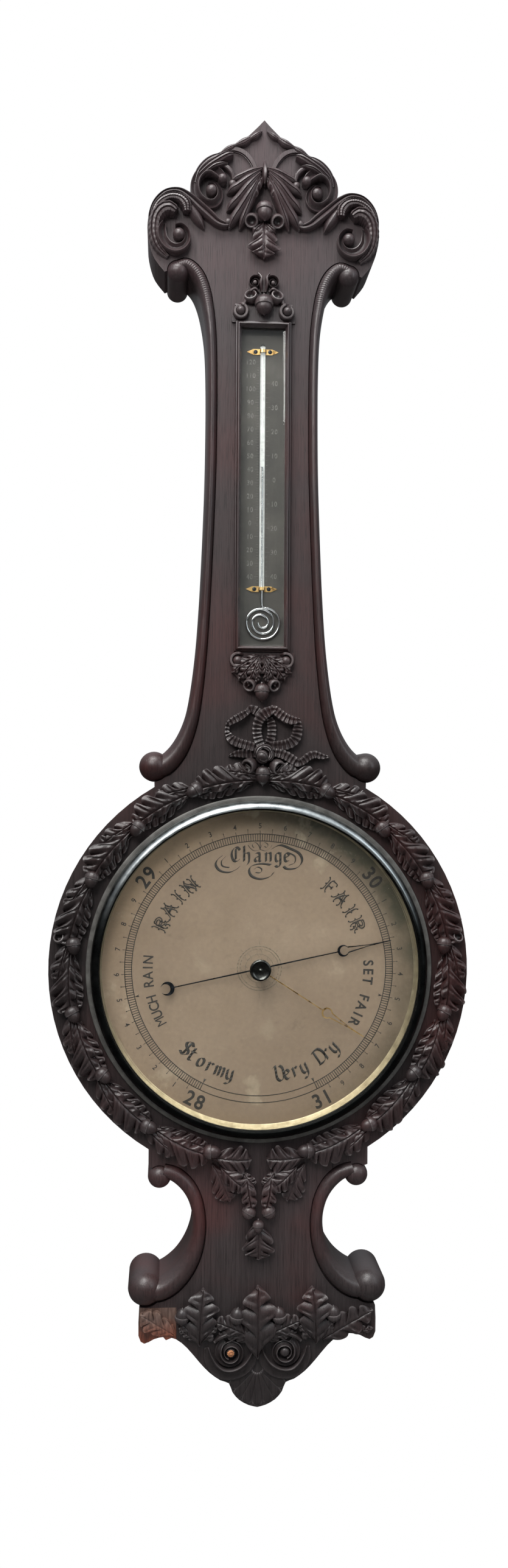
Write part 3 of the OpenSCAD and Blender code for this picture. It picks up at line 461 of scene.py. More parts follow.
class Shape:
    """Collects closed solids, then makes them one piece."""

    def __init__(self):
        self.verts, self.faces = [], []

    def add(self, verts, faces):
        base = len(self.verts)
        self.verts.extend(tuple(v) for v in np.asarray(verts, float))
        self.faces.extend(tuple(base + int(i) for i in f) for f in faces)

    def tube(self, rows, loop=False):
        """Rows of points, each row a closed ring. The ends are capped unless the rows close on themselves."""
        rows = np.asarray(rows, float)
        n, m = rows.shape[:2]
        faces = []
        for i in range(n if loop else n - 1):
            k = (i + 1) % n
            faces += [(i * m + j, i * m + (j + 1) % m, k * m + (j + 1) % m, k * m + j) for j in range(m)]
        if not loop:
            faces += [tuple(range(m - 1, -1, -1)), tuple((n - 1) * m + j for j in range(m))]
        self.add(rows.reshape(-1, 3), faces)

    def lathe(self, origin, axis, profile, segments=28, knurl=0.0, around=14, along=7.0):
        """Profile points are (distance along the axis, radius). knurl roughens it in a scale pattern."""
        axis = np.array(axis, float) / np.linalg.norm(axis)
        other = np.cross(axis, (0.31, 0.17, 0.93))
        other /= np.linalg.norm(other)
        third = np.cross(axis, other)
        angle = np.linspace(0, 2 * math.pi, segments, endpoint=False)
        size = max(r for _, r in profile)
        rows = []
        for s, r in profile:
            twist = (s / size) * along
            scales = knurl * size * np.sin(angle * around + twist) * np.sin(angle * around - twist)
            rr = r + scales * (r > 0.3 * size)
            ring = np.array(origin) + axis * s + np.cos(angle)[:, None] * other * rr[:, None]
            rows.append(ring + np.sin(angle)[:, None] * third * rr[:, None])
        self.tube(rows)

    def strip(self, path, profile, per=6, pleat=0.0, wave=3.2, flip=1):
        """A band along path points (x, z, width, rise). Profile points are (across, share of the rise)."""
        base = BOARD - BURY
        p = smooth_path(path, per)
        if pleat:  # even steps along the length, so that the folds show
            run = distances(p)
            steps = np.linspace(0, run[-1], max(12, int(run[-1] / wave * 7)))
            p = np.stack([np.interp(steps, run, p[:, i]) for i in range(4)], 1)
            fold = np.sin(2 * math.pi * steps / wave)
            p[:, 3] += pleat * fold
            p[:, 2] *= 1 + 0.05 * np.sin(2 * math.pi * steps / wave + 1)
        n = side_normals(p[:, :2])
        rows = []
        for (x, z, w, h), (nx, nz) in zip(p, n):
            ring = [(flip * s * w / 2, base + (BURY if q else 0) + q * h) for s, q in profile]
            rows.append([(x + off * nx, z + off * nz, d) for off, d in ring])
        self.tube(rows)

    def leaf(self, base, tip, width, lobes, rise, bend=0.0, depth=0.45, ruffle=0.4, sweep=0.95, seed=0.0,
            foot=0.3, blunt=0.55, level=0.0):
        """A carved oak leaf. width, lobes and depth may differ left and right of the midrib."""
        width, lobes, depth = ((v, v) if isinstance(v, (int, float)) else v for v in (width, lobes, depth))
        n, half = int(max(lobes) * 12) + 1, 9
        t = np.linspace(0, 1, n)
        start, end = np.array(base, float), np.array(tip, float)
        length = np.linalg.norm(end - start)
        along = (end - start) / length
        across = np.array([-along[1], along[0]])
        control = (start + end) / 2 + across * bend * length

        def spine(a):
            a = a[..., None]
            inside = np.clip(a, 0, 1)
            point = (1 - inside) ** 2 * start + 2 * inside * (1 - inside) * control + inside**2 * end
            slope = 2 * (1 - inside) * (control - start) + 2 * inside * (end - control)
            slope = slope / (np.linalg.norm(slope, axis=-1, keepdims=True) + 1e-9)
            point = point + (a - inside) * length * slope
            return point, np.stack([-slope[..., 1], slope[..., 0]], -1)

        envelope = np.maximum(np.sin(math.pi * t**0.85) ** blunt, 0.07 * (1 - t))
        rows = np.zeros((n, 2 * half + 1, 3))
        for side, reach, count, cut in zip((1, -1), (width[0] / 2, width[1] / 2), lobes, depth):
            place = count * t + 0.18 * math.sin(7.1 * seed + side)
            wave = np.abs(np.sin(math.pi * place))
            w = reach * envelope * (1 - cut * (1 - wave) ** 1.6) + 0.12
            for j in range(half + 1):
                v = j / half
                point, normal = spine(t + sweep * (reach / length) * v * envelope * (1 - t**2))
                xz = point + normal * side * (w * v)[:, None]
                arch = 0.45 + 0.55 * np.sin(math.pi * (0.06 + 0.82 * t))
                h = rise * arch * (1 - 0.22 * v**2.2)
                h -= rise * 0.2 * math.exp(-((v / 0.09) ** 2)) * (1 - 0.5 * t)
                h += rise * 0.16 * v * (wave**0.9 - 0.7)
                h -= rise * 0.42 * max(0.0, (v - 0.15) / 0.85) * (1 - wave) ** 4.0
                crease = np.exp(-(((1 - wave) / 0.035) ** 2))
                h -= rise * 0.1 * math.sin(math.pi * min(1.0, v * 1.1)) * crease
                h += 0.045 * rise * np.sin(2 * math.pi * place * 3 + seed) * v * (1.25 - v)
                h += ruffle * v**2 * np.sin(math.pi * place * 2 + 2.1 * seed + side)
                top = BOARD + level + np.maximum(h, 0.35)
                rows[:, half - side * j] = np.concatenate([xz, top[:, None]], 1)
        m = 2 * half + 1
        centre, _ = spine(np.clip(t, 0, 1))
        loop = [(i, 0) for i in range(n)] + [(n - 1, j) for j in range(1, m - 1)]
        loop += [(i, m - 1) for i in range(n - 1, -1, -1)] + [(0, j) for j in range(m - 2, 0, -1)]
        top = [i * m + j for i, j in loop]
        rim = np.array([rows[i, j] for i, j in loop])
        middle = np.array([centre[i] for i, _ in loop])
        lip = rim.copy()
        lip[:, 2] = np.maximum(rim[:, 2] - 1.2, BOARD + level * 0.5 - 0.3)
        floor = rim.copy()
        floor[:, :2] += foot * (middle - rim[:, :2])
        floor[:, 2] = BOARD - BURY
        faces = []
        for i in range(n - 1):
            faces += [(i * m + j, i * m + j + 1, (i + 1) * m + j + 1, (i + 1) * m + j) for j in range(m - 1)]
        count, size = n * m, len(loop)
        for k in range(size):
            q = (k + 1) % size
            faces.append((top[k], top[q], count + q, count + k))
            faces.append((count + k, count + q, count + size + q, count + size + k))
        faces.append(tuple(count + size + k for k in range(size)))
        self.add(np.concatenate([rows.reshape(-1, 3), lip, floor]), faces)

    def acorn(self, x, z, r, heading, lift=0.0, tilt=8.0, long=1.0):
        """An acorn on the case; heading is the way its nut points, from +x towards +z."""
        axis = aim(heading, tilt)
        origin = (x, z, BOARD + 0.55 * r + lift)
        nut = [(-0.3, 0.6), (0.0, 0.93), (0.35, 0.97), (0.7, 0.92), (1.05, 0.74), (1.3, 0.5), (1.45, 0.24),
            (1.52, 0.1), (1.62, 0.04)]
        cap = [(-1.35, 0.16), (-1.12, 0.24), (-1.02, 0.6), (-0.78, 0.92), (-0.45, 1.09), (-0.1, 1.13),
            (0.08, 1.09), (0.12, 0.98), (0.02, 0.9), (-0.2, 0.6)]
        self.lathe(origin, axis, [(s * r * long, q * r) for s, q in nut])
        self.lathe(origin, axis, [(s * r, q * r) for s, q in cap], 42, 0.028)

    def cup(self, x, z, r, heading, lean=38.0, lift=0.0):
        """An empty acorn cup whose mouth leans out of the case along heading."""
        axis = aim(heading, 90 - lean)
        profile = [(-1.25, 0.14), (-1.1, 0.55), (-0.8, 0.9), (-0.3, 1.06), (0.2, 1.04), (0.42, 0.94),
            (0.46, 0.8), (0.36, 0.7), (0.05, 0.62), (-0.25, 0.42), (-0.34, 0.1)]
        self.lathe((x, z, BOARD + 0.85 * r + lift), axis, [(s * r, q * r) for s, q in profile], 42, 0.022)

    def ball(self, x, z, r, top, base=None):
        """A rounded boss whose highest point stands top above the case."""
        base = BOARD - BURY if base is None else base
        rise = BOARD + top - base
        drum = max(rise - r, rise * 0.25)
        angles = np.radians([0, 15, 30, 45, 60, 72, 82, 88])
        arc = [(drum + (rise - drum) * math.sin(a), r * math.cos(a)) for a in angles]
        self.lathe((x, z, base), (0, 0, 1), [(0, r)] + arc, 36)

    def box(self, low, high):
        (x0, z0, d0), (x1, z1, d1) = low, high
        verts = [(x, z, d) for d in (d0, d1) for z in (z0, z1) for x in (x0, x1)]
        self.add(verts, [(0, 2, 3, 1), (4, 5, 7, 6), (0, 1, 5, 4), (2, 6, 7, 3), (0, 4, 6, 2), (1, 3, 7, 5)])

    def plate(self, outline, d0, d1):
        """A flat solid from a closed outline in x and z."""
        pts = np.asarray(outline, float)
        n = len(pts)
        verts = [(x, z, d) for d in (d0, d1) for x, z in pts]
        faces = [tuple(range(n - 1, -1, -1)), tuple(range(n, 2 * n))]
        faces += [(k, (k + 1) % n, n + (k + 1) % n, n + k) for k in range(n)]
        self.add(verts, faces)

    def mirrored(self):
        other = Shape()
        other.add([(-x, z, d) for x, z, d in self.verts], [tuple(reversed(f)) for f in self.faces])
        return other

    def join(self, other):
        self.add(other.verts, other.faces)
        return self

    def both(self):
        return self.join(self.mirrored())

    def make(self, name, material, body="case", nodes=(), slot=None, sharp=40.0, worn=True):
        mesh = bpy.data.meshes.new(name)
        mesh.from_pydata([(x * MM, -d * MM, z * MM) for x, z, d in self.verts], [], self.faces)
        bm = bmesh.new()
        bm.from_mesh(mesh)
        bmesh.ops.recalc_face_normals(bm, faces=bm.faces)
        bm.to_mesh(mesh)
        bm.free()
        mesh.polygons.foreach_set("use_smooth", [True] * len(mesh.polygons))
        if sharp < 180:
            mesh.set_sharp_from_angle(angle=math.radians(sharp))
        # ridge values, which the oak's paint uses for wear, painted highlight and painted shade
        if worn:
            mesh.attributes.new("ridge", "FLOAT", "POINT").data.foreach_set("value", ridge_values(mesh))
        mesh.materials.append(material)
        obj = new_object(name, mesh)
        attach(obj, body)
        if nodes:
            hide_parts(*nodes)


def carve(node, shape, piece=None):
    """Makes the shape a piece of carved oak that stands for the node."""
    shape.make(f"{piece or node}_carved", OAK_CARVED, nodes=[node], slot="carved_oak")


def even(profile):
    """A profile from its left half, whose last point is the middle."""
    return profile + [(-s, q) for s, q in profile[-2::-1]]


# profiles of the strips: place across, and share of the rise
ROUND = even([(-1, 0), (-1, 0.45), (-0.9, 0.72), (-0.68, 0.92), (-0.36, 1), (0, 1.0)])
POINTED = even([(-1, 0), (-1, 0.4), (-0.7, 0.72), (-0.3, 0.93), (0, 1)])
FINGER = even([(-1, 0), (-0.98, 0.5), (-0.8, 0.8), (-0.45, 0.95), (-0.12, 1.0), (0.0, 0.9)])
ARCH = [(-1, 0), (-1, 0.9), (-0.86, 1), (0.6, 1), (0.74, 0.45), (1, 0.4), (1, 0)]
DISHED = [(-1, 0), (-1, 0.7), (-0.92, 0.93), (-0.78, 1.0), (-0.62, 0.94), (-0.4, 0.66), (-0.1, 0.45),
    (0.25, 0.38), (0.6, 0.46), (0.82, 0.58), (0.94, 0.55), (1, 0.4), (1, 0)]
TWIN = [(-1, 0), (-1, 0.55), (-0.88, 0.8), (-0.6, 0.92), (-0.34, 0.8), (-0.22, 0.62), (-0.08, 0.78),
    (0.2, 1.0), (0.5, 1.0), (0.78, 0.84), (0.95, 0.55), (1, 0.35), (1, 0)]
GRAINED = [(-1, 0), (-1, 0.5), (-0.86, 0.8), (-0.62, 0.95), (-0.48, 0.84), (-0.32, 0.97), (-0.02, 1.0),
    (0.12, 0.88), (0.28, 0.97), (0.58, 0.92), (0.68, 0.8), (0.88, 0.68), (1, 0.4), (1, 0)]
SIDES = (("left", -1), ("right", 1))


def spiral(x, z, r_out, r_in, start, turns, wide, rise, end_wide=0.5, end_rise=0.8):
    """Path points of a scroll that winds in from r_out to r_in; start is in degrees."""
    n = max(8, int(abs(turns) * 16))
    out = []
    for i in range(n + 1):
        t = i / n
        a = math.radians(start + 360 * turns * t)
        r = r_out + (r_in - r_out) * t**0.85
        grow = min(1.0, 0.25 + 6 * t)
        width, height = wide * (1 - (1 - end_wide) * t), rise * (1 - (1 - end_rise) * t) * grow
        out.append((x + r * math.cos(a), z + r * math.sin(a), width, height))
    return out


# ---------------------------------------------------------------- edge rolls
UPPER_ROLL = [(81.5, 664, 13), (73, 666.5, 13), (64, 659.5, 13), (57.5, 647, 12.5), (52.8, 628, 11.5),
    (49.4, 600, 10.4), (48.2, 560, 10), (48.2, 510, 10), (49, 462, 10), (51, 405, 10), (53.5, 350, 10.2),
    (56.8, 300, 11), (62, 255, 12.5), (68, 228, 14.5), (78, 206, 18), (91, 192, 21), (101, 191, 22)]
LOWER_ROLL = [(90, -190.5, 15), (78, -194.5, 16), (67, -204.5, 15.5), (59.5, -218, 14), (55.8, -235, 13),
    (56.2, -252, 13.6), (61, -270, 15.8), (70, -286, 18), (82, -298, 20), (94, -304, 20.5),
    (104, -302.5, 21)]
ROLL_RISE, ROLL_OUTER, QUIRK = 5.5, 9, 3.2  # above the field, down the outer edge, down the inner groove


def roll(points, ends, side, hatch):
    """A rounded roll along the case's edge, a ball at each end, notched for the first hatch millimetres."""
    shape = Shape()
    path = smooth_path(points, 10)
    run = distances(path)
    stops = np.arange(0, run[-1], 3.0)
    if hatch:
        stops = np.concatenate([np.arange(0, hatch, 0.45), np.arange(hatch, run[-1], 3.0)])
    path = np.stack([np.interp(np.append(stops, run[-1]), run, path[:, i]) for i in range(3)], 1)
    normal = side_normals(path[:, :2])
    rows = []
    for (x, z, w), (nx, nz), s in zip(path, normal, np.append(stops, run[-1])):
        notch = 0.24 * math.sin(2 * math.pi * s / 2.1) * min(1.0, (hatch - s) / 20) if s < hatch else 0.0
        ring = [(1.0, 0.0), (1.0, BOARD - ROLL_OUTER)]
        for a in np.radians([12, 28, 45, 62, 80, 96, 112, 128, 144, 158, 170]):
            outer = a < math.pi / 2
            drop = ROLL_OUTER if outer else QUIRK
            rough = notch if 95 < math.degrees(a) < 150 else 0.0
            place = 0.93 * math.cos(a) + 0.07 if outer else 0.9 * math.cos(a)
            ring.append((place, BOARD - drop + (drop + ROLL_RISE) * math.sin(a) + rough))
        ring += [(-0.9, BOARD - QUIRK), (-1.0, BOARD - QUIRK - 0.2), (-1.0, 0.0)]
        rows.append([(x + q * w / 2 * nx, z + q * w / 2 * nz, d) for q, d in ring])
    shape.tube(rows)
    for x, z, r, rise in ends:
        shape.ball(x, z, r, rise, base=0.0)
    return shape if side > 0 else shape.mirrored()


for name, points, ends, hatch in (("roll_upper", UPPER_ROLL, [(81.5, 660.5, 10.2, 6.5), (101, 191, 14.2,
        8.0)], 62.0), ("roll_lower", LOWER_ROLL, [(93.6, -196, 11, 6.5), (106.5, -302.5, 16.3, 8.5)], 0.0)):
    for word, side in SIDES:
        roll(points, ends, side, hatch).make(f"{name}_{word}_carved", OAK_ROLL, nodes=[f"{name}_{word}"],
            slot="oak")


# ---------------------------------------------------------------- crest
def crest_scrolls():
    s = Shape()
    # outer band of the ear, and the long leaf that it runs out into
    s.strip([(108.3, 700, 2, 5), (107.6, 712, 3.4, 7), (102.5, 723.5, 4.4, 9), (93, 731.6, 5, 10.5),
        (81, 733, 6, 11), (71, 727.8, 8, 10.5), (61, 719.3, 10, 10), (51.5, 711.5, 10, 9), (44.5, 706, 8.5,
        8), (38, 703.6, 6.5, 7.5), (32, 704.6, 3, 5)], TWIN)
    s.ball(34.3, 706.2, 3.5, 7.5)
    # hatched rim under it, ending in a rounded lobe
    s.strip([(105.8, 704, 3, 8), (104.2, 714, 6.5, 9.5), (98.5, 722.5, 8.5, 10.5), (89.5, 727.3, 8.5, 11),
        (80, 726.2, 9.5, 12), (74, 720.3, 11, 12.5), (73, 713.6, 7.5, 11)], GRAINED, pleat=0.11, wave=2.2)
    # broad rolled leaf down the outside, curling over into the ear
    s.strip([(91, 672.5, 4, 4), (98.5, 679.5, 9, 7), (102.6, 688.5, 11, 9), (103.6, 698.5, 12, 10.5),
        (101.6, 708.3, 13, 12), (96, 714.8, 13.5, 13.5), (89, 716.3, 12.5, 13.5), (83.6, 713.3, 8.5, 12)],
        GRAINED, pleat=0.1, wave=4.6)
    # dished scroll round the ball
    s.strip([(94.6, 702.6, 4, 11), (96.6, 696, 8.5, 11.5), (95.8, 688.5, 10, 11.5), (91, 682, 10.5, 11),
        (84, 679.4, 10.5, 10.5), (76.8, 681.8, 9, 10), (72.8, 687.8, 7, 9.5), (73.2, 695, 5.5, 9.5),
        (78, 700.2, 4.2, 9.5), (84, 700, 3, 9)], DISHED, flip=-1)
    s.ball(80.6, 693.0, 5.7, 10.5)
    # smooth pointed leaf between the ear and the long leaf
    s.strip([(73.5, 725.5, 2.5, 7), (69.3, 719, 8, 9), (64.6, 711.2, 10.4, 9.2), (60.2, 704.6, 7.5, 8),
        (57, 699.2, 1.2, 5)], POINTED)
    # upper volute
    s.strip([(38.6, 744.2, 6, 11), (43.2, 750.3, 10.5, 13), (51.5, 754.6, 10.5, 13.5), (59.6, 752, 9.5,
        12.5), (64.8, 744.5, 8.8, 11.5), (65.6, 735.5, 8.8, 11), (62, 727, 8.8, 10.5), (54.8, 722.2, 8.2,
        10), (47, 723, 7.4, 9.5), (42.4, 729, 6.4, 9.5), (42.8, 736.6, 5, 9.5), (47.6, 742, 3.8, 9.5),
        (53.5, 741.5, 2.6, 9)], DISHED)
    s.ball(49.8, 735.4, 5.7, 10.5)
    s.ball(39.9, 745.4, 4.4, 13.2)
    # overlapping fingers of the leaf above the volute
    for path in ([(65.5, 742, 3, 6), (62, 752.5, 7, 8), (54, 761.5, 8.5, 8.5), (45, 767, 7, 8),
            (38.5, 769.3, 2.5, 6)], [(62, 750, 3, 8), (53, 757.5, 8, 10), (43.5, 763.5, 9, 11),
            (35, 768.3, 8, 11), (30, 769.8, 4, 9)], [(57, 751, 3, 9), (48, 757, 6, 11), (40.5, 759.5, 5,
            11), (35, 760.2, 2, 8)]):
        s.strip(path, GRAINED)
    # moulded arch and its ball
    s.strip([(38, 772.5, 4.6, 3), (30, 776.3, 4.8, 3.4), (20, 773.5, 4.8, 3.4), (12.5, 766, 4.8, 3.4),
        (8, 757, 4.4, 3)], ARCH)
    s.ball(10.8, 754.3, 3.8, 3.6)
    s.strip([(42, 760, 3, 6), (35.5, 757.5, 5, 7.5), (30.6, 752, 4.8, 7.5), (29.2, 746.5, 4, 6.5)], ROUND)
    s.ball(30.2, 742.6, 3.9, 7.6)
    # leaves along the top edge
    for path in ([(2.5, 794.5, 1.5, 3), (8, 790, 5.5, 5), (14.5, 786, 2.5, 4)], [(10.5, 790, 2, 3),
            (19, 783.6, 7.5, 5.5), (28.5, 779.4, 3, 4.5)], [(24, 782, 2, 3), (33.5, 776.8, 6, 4.5),
            (42, 772, 2, 3)]):
        s.strip(path, GRAINED)
    return s.both()


def crest_leaves():
    s = Shape()
    for path in ([(2, 757.5, 3, 8), (12, 753.5, 8, 11), (21, 750, 7.5, 9.5), (27, 747.5, 6, 8),
            (31, 745.0, 1.5, 5)], [(3, 755.5, 3, 9), (14, 747, 9, 12.5), (25, 739.5, 9, 11),
            (31, 736.5, 7.5, 9), (35.5, 733.0, 1.5, 5)], [(4, 752, 4, 10), (14, 740, 9.5, 14),
            (24, 728, 10, 12), (31, 721.5, 8.5, 9.5), (35.5, 716.5, 1.5, 5)], [(4.5, 749, 4, 10),
            (13, 733, 9.5, 14.2), (22.5, 718, 10, 12), (29, 708.5, 9, 10), (33.5, 700.5, 1.5, 5)],
            [(4, 746, 4, 10), (10.5, 732, 7.5, 13), (16.5, 717.5, 8, 12), (20.5, 708, 7.5, 10),
            (23.5, 699.5, 1.5, 5)]):
        s.strip(path, FINGER)
    s.leaf((1.0, 752), (12.8, 723.5), (11, 9), (2, 2), 12.5, bend=0.06, seed=1.11, depth=0.35)
    s.both()
    s.strip([(0, 765.5, 1.4, 5), (0, 760, 3.2, 9.5), (0.2, 754, 5.4, 12.5), (0, 747.5, 4.4, 13.5),
        (0, 742, 1.5, 10)], ROUND)
    # drop leaf below the acorn
    s.leaf((0, 708), (0, 671.6), 31, 3, 9.5, seed=0.3, depth=0.62, sweep=0.75, blunt=0.8, ruffle=0.8)
    s.leaf((0, 707), (-11, 696), 8, 1, 8.0, seed=0.1)
    s.leaf((0, 707), (11, 696), 8, 1, 8.0, seed=0.2)
    return s


def crest_acorn():
    s = Shape()
    s.acorn(0, 716.5, 7.2, -90, lift=5.1, tilt=13)
    s.cup(-12.2, 707, 6.4, -110, 34, lift=2)
    s.cup(12.2, 707, 6.4, -70, 34, lift=2)
    return s


carve("crest_scrolls", crest_scrolls())
carve("crest_leaves", crest_leaves())
carve("crest_acorn", crest_acorn())


# ---------------------------------------------------------------- thermometer carving
THERM_LOW, THERM_HIGH = span("thermometer_frame")


def crown_carving():
    s = Shape()
    top = THERM_HIGH[1]
    s.plate([(-30, top - 0.5), (30, top - 0.5), (30, top + 6), (20, top + 16), (16, top + 22),
        (16, top + 32), (12, top + 42), (-12, top + 42), (-16, top + 32), (-16, top + 22), (-20, top + 16),
        (-30, top + 6)], BOARD - BURY, BOARD + 2.2)
    half = Shape()
    half.strip(spiral(8.6, 649.3, 6.2, 2.0, 200, -1.35, 3.6, 9, 0.6, 0.9), DISHED, flip=-1)
    half.ball(8.6, 649.3, 1.9, 8)
    half.strip([(1.5, 641, 2.5, 5), (3.2, 648, 3.5, 8), (2.6, 654, 3, 8), (5.5, 658.5, 1.4, 6)], ROUND)
    half.strip([(16.5, 640, 2.5, 5), (17.5, 632, 4, 7), (21, 627, 4, 7), (27, 628, 3, 6)], ROUND)
    half.strip([(5, 640.5, 2, 7), (8.5, 643, 3, 9), (13, 641, 3, 8)], ROUND)
    half.cup(12.4, 636, 6.0, 65, 30, lift=1.5)
    half.strip(spiral(22.2, 621.6, 7.0, 5.0, 60, 0.98, 4.0, 9, 0.9, 1.0), ROUND)
    half.ball(22.2, 621.6, 3.9, 13.0)
    s.join(half.both())
    s.acorn(0, 627.5, 7.8, -90, lift=3.9, tilt=9, long=0.85)
    return s


def foot_carving():
    s = Shape()
    base = THERM_LOW[1]
    s.plate([(30.5, base - 0.4), (31, base - 8), (27, base - 20), (15, base - 33), (-15, base - 33),
        (-27, base - 20), (-31, base - 8), (-30.5, base - 0.4)], BOARD - BURY, BOARD + 3.5)
    half = Shape()
    half.strip(spiral(22.9, 291.6, 7.4, 5.0, 150, -1.0, 3.4, 8, 0.8, 1.0), ROUND)
    half.ball(22.9, 291.6, 4.6, 9.5)
    for k, (tip, width, rise, bend) in enumerate([((28.5, 280), 11, 9, 0.1), ((22, 272.5), 11, 10, 0.06),
            ((13.5, 267), 10, 11, 0.03), ((5, 269), 7, 11, 0.0)]):
        half.leaf((1.0, 297), tip, width, 3, rise, bend=bend, seed=0.4 * k, ruffle=0.5)
    half.cup(11.6, 268.5, 5.8, -45, 36, lift=1.5)
    s.join(half.both())
    s.acorn(0, 262.5, 6.5, -90, lift=4, tilt=6, long=0.95)
    return s


carve("thermometer_crown_carving", crown_carving(), "thermometer_crown")
carve("thermometer_foot_carving", foot_carving(), "thermometer_foot")


# ---------------------------------------------------------------- ribbon, knot and garland
RIBBON = [(-1, 0), (-1, 0.75), (-0.9, 0.98), (-0.6, 1.0), (-0.2, 0.9), (0.2, 0.88), (0.6, 0.96), (0.9, 0.9),
    (1, 0.66), (1, 0)]


def ribbon_bow():
    """The fold over the top, the strip behind, the loops, then the two tails."""
    s = Shape()
    for path in [[(-13.5, 243.5, 4, 4), (-9.5, 246, 8, 5), (-4, 243.5, 9, 5), (1, 239, 8, 5)],
            [(7.4, 238, 6, 4), (9.4, 233, 8.4, 5), (10, 226, 8.6, 5), (9.4, 219, 8.6, 5), (6.5, 212.5, 8,
            5)], [(-31.6, 219, 5, 4), (-32.4, 226, 4.6, 5), (-31.6, 233, 4, 5)], [(-31.8, 231.8, 5, 7),
            (-26.2, 235.4, 7, 8.5), (-19.4, 239.2, 7.4, 9), (-12.6, 243.6, 5, 8)], [(-31.5, 222.5, 6, 5.5),
            (-28.8, 217.6, 8.5, 6.5), (-22.5, 214.2, 9, 7), (-15, 212, 9, 7.5), (-7.5, 210.2, 8.5, 8),
            (-1, 208.5, 7, 8)], [(35.8, 235, 4, 6), (34.6, 230, 8.5, 6), (34, 223, 9.8, 6.2),
            (31.2, 216.6, 10, 6.5), (25, 212.8, 9.8, 7), (17, 211.4, 9.6, 7.5), (9, 211, 8.5, 8)],
            [(8, 247.4, 5, 8), (12.6, 245, 8.4, 9), (17.8, 241, 9, 9.5), (23.6, 237.2, 9, 9.5),
            (30.2, 235.4, 8, 9), (36.2, 235.6, 4, 7.5)], [(13, 245.8, 5, 9), (6.5, 243.6, 9.5, 10),
            (0, 239, 10.5, 10.5), (-3.8, 232, 9.2, 10), (-4.4, 224.4, 9, 9.5), (-3, 217, 9, 9),
            (-0.5, 211, 8, 8)], [(-5, 204.6, 9, 6.5), (-12, 203.8, 9, 6.5), (-20, 203.8, 7.8, 6),
            (-26.5, 202.8, 4.5, 5), (-31, 201.2, 1, 3)], [(9, 205.4, 7, 7), (16, 204.4, 8.6, 7.5),
            (23.4, 202, 9, 8), (30, 198, 9, 8), (35, 195.2, 7.5, 8), (40.2, 197.6, 7.5, 7.5),
            (45.6, 201.8, 7.8, 7), (51, 203.4, 7.2, 6.5), (58, 201.6, 5.5, 6), (65, 201.2, 1.2, 4)]]:
        s.strip(path, RIBBON, pleat=0.85, wave=3.9)
    return s


def garland_knot():
    s = Shape()
    s.ball(2.4, 203.4, 9.8, 8.5)
    for a0, radius, rise in ((10, 6.6, 12.5), (95, 6.8, 12.0), (200, 6.4, 12.5), (300, 6.8, 11.5)):
        arc = []
        for i, wide in enumerate((2.5, 5.6, 6.6, 6.4, 5.2, 2.2)):
            a = math.radians(a0 + 20 * i)
            x, z = 2.4 + radius * math.cos(a), 203.4 + radius * math.sin(a)
            arc.append((x, z, wide, rise - 1.2 * (i in (0, 5))))
        s.strip(arc, GRAINED)
    s.acorn(0.4, 201.4, 4.9, -115, lift=7.0, tilt=48, long=0.7)
    s.cup(-11.9, 192.2, 6.9, -150, 44, lift=1.5)
    s.cup(15.4, 191.2, 6.9, -35, 44, lift=1.5)
    s.acorn(1.4, 184.6, 6.5, -90, lift=3.2, tilt=4, long=1.1)
    s.leaf((6, 191), (33, 187), (16, 13), (4, 3), 9, bend=-0.08, seed=0.5)
    s.leaf((-2, 191), (-30, 187), (13, 16), (4, 3), 9, bend=0.08, seed=0.2)
    return s


GARLAND_R = 179.0
GARLAND_STEP = 20.7
GARLAND_UNITS = 8


def on_ring(degrees, radius):
    a = math.radians(degrees)
    return np.array([radius * math.sin(a), radius * math.cos(a)])


def garland_leaves(side):
    """Going clockwise, left of a leaf's midrib is the rim side and right of it is the bezel side."""
    s = Shape()
    for k in range(GARLAND_UNITS):
        start = 1.6 + k * GARLAND_STEP
        wob = math.sin(5.1 * k + side)
        # low leaf along the bezel, finely scalloped
        s.leaf(on_ring(start + 1.0, GARLAND_R - 4), on_ring(start + 18.5, GARLAND_R - 5.0 + 0.6 * wob),
            (15, 17), (2, 5), 7.0, bend=0.1, seed=0.31 * k + 1, depth=(0.2, 0.28), ruffle=0.6, foot=0.12)
        # tall leaf towards the rim, with broad lobes that fan outwards
        s.leaf(on_ring(start - 0.6, GARLAND_R - 0.5), on_ring(start + 19.5, GARLAND_R + 1.5 + wob),
            (35, 14), (4, 3), 12.0, bend=0.09, seed=0.43 * k, depth=(0.4, 0.3), ruffle=1.4,
            sweep=1.0 + 0.12 * wob, blunt=0.5)
        # short fan beside the acorn
        s.leaf(on_ring(start - 3.0, GARLAND_R + 3), on_ring(start + 9.5, GARLAND_R + 11.5), (18, 9), (3, 2),
            9.5, bend=0.04, seed=0.2 * k + 3, depth=(0.42, 0.25), ruffle=1.0, sweep=1.0, blunt=0.45)
    return s if side > 0 else s.mirrored()


def garland_acorns(side):
    s = Shape()
    for k in range(1, GARLAND_UNITS + 1):
        a = 0.6 + k * GARLAND_STEP
        x, z = on_ring(a - 1.2, GARLAND_R + (-2.2 if k % 2 == 0 else 1.2))
        s.acorn(x, z, 6.2, -a - 14, lift=4.2, tilt=6, long=1.05)
        if k == 4:
            x, z = on_ring(a - 2.5, GARLAND_R + 12)
            s.cup(x, z, 5.2, 60, 34, lift=1.0)
    return s if side > 0 else s.mirrored()


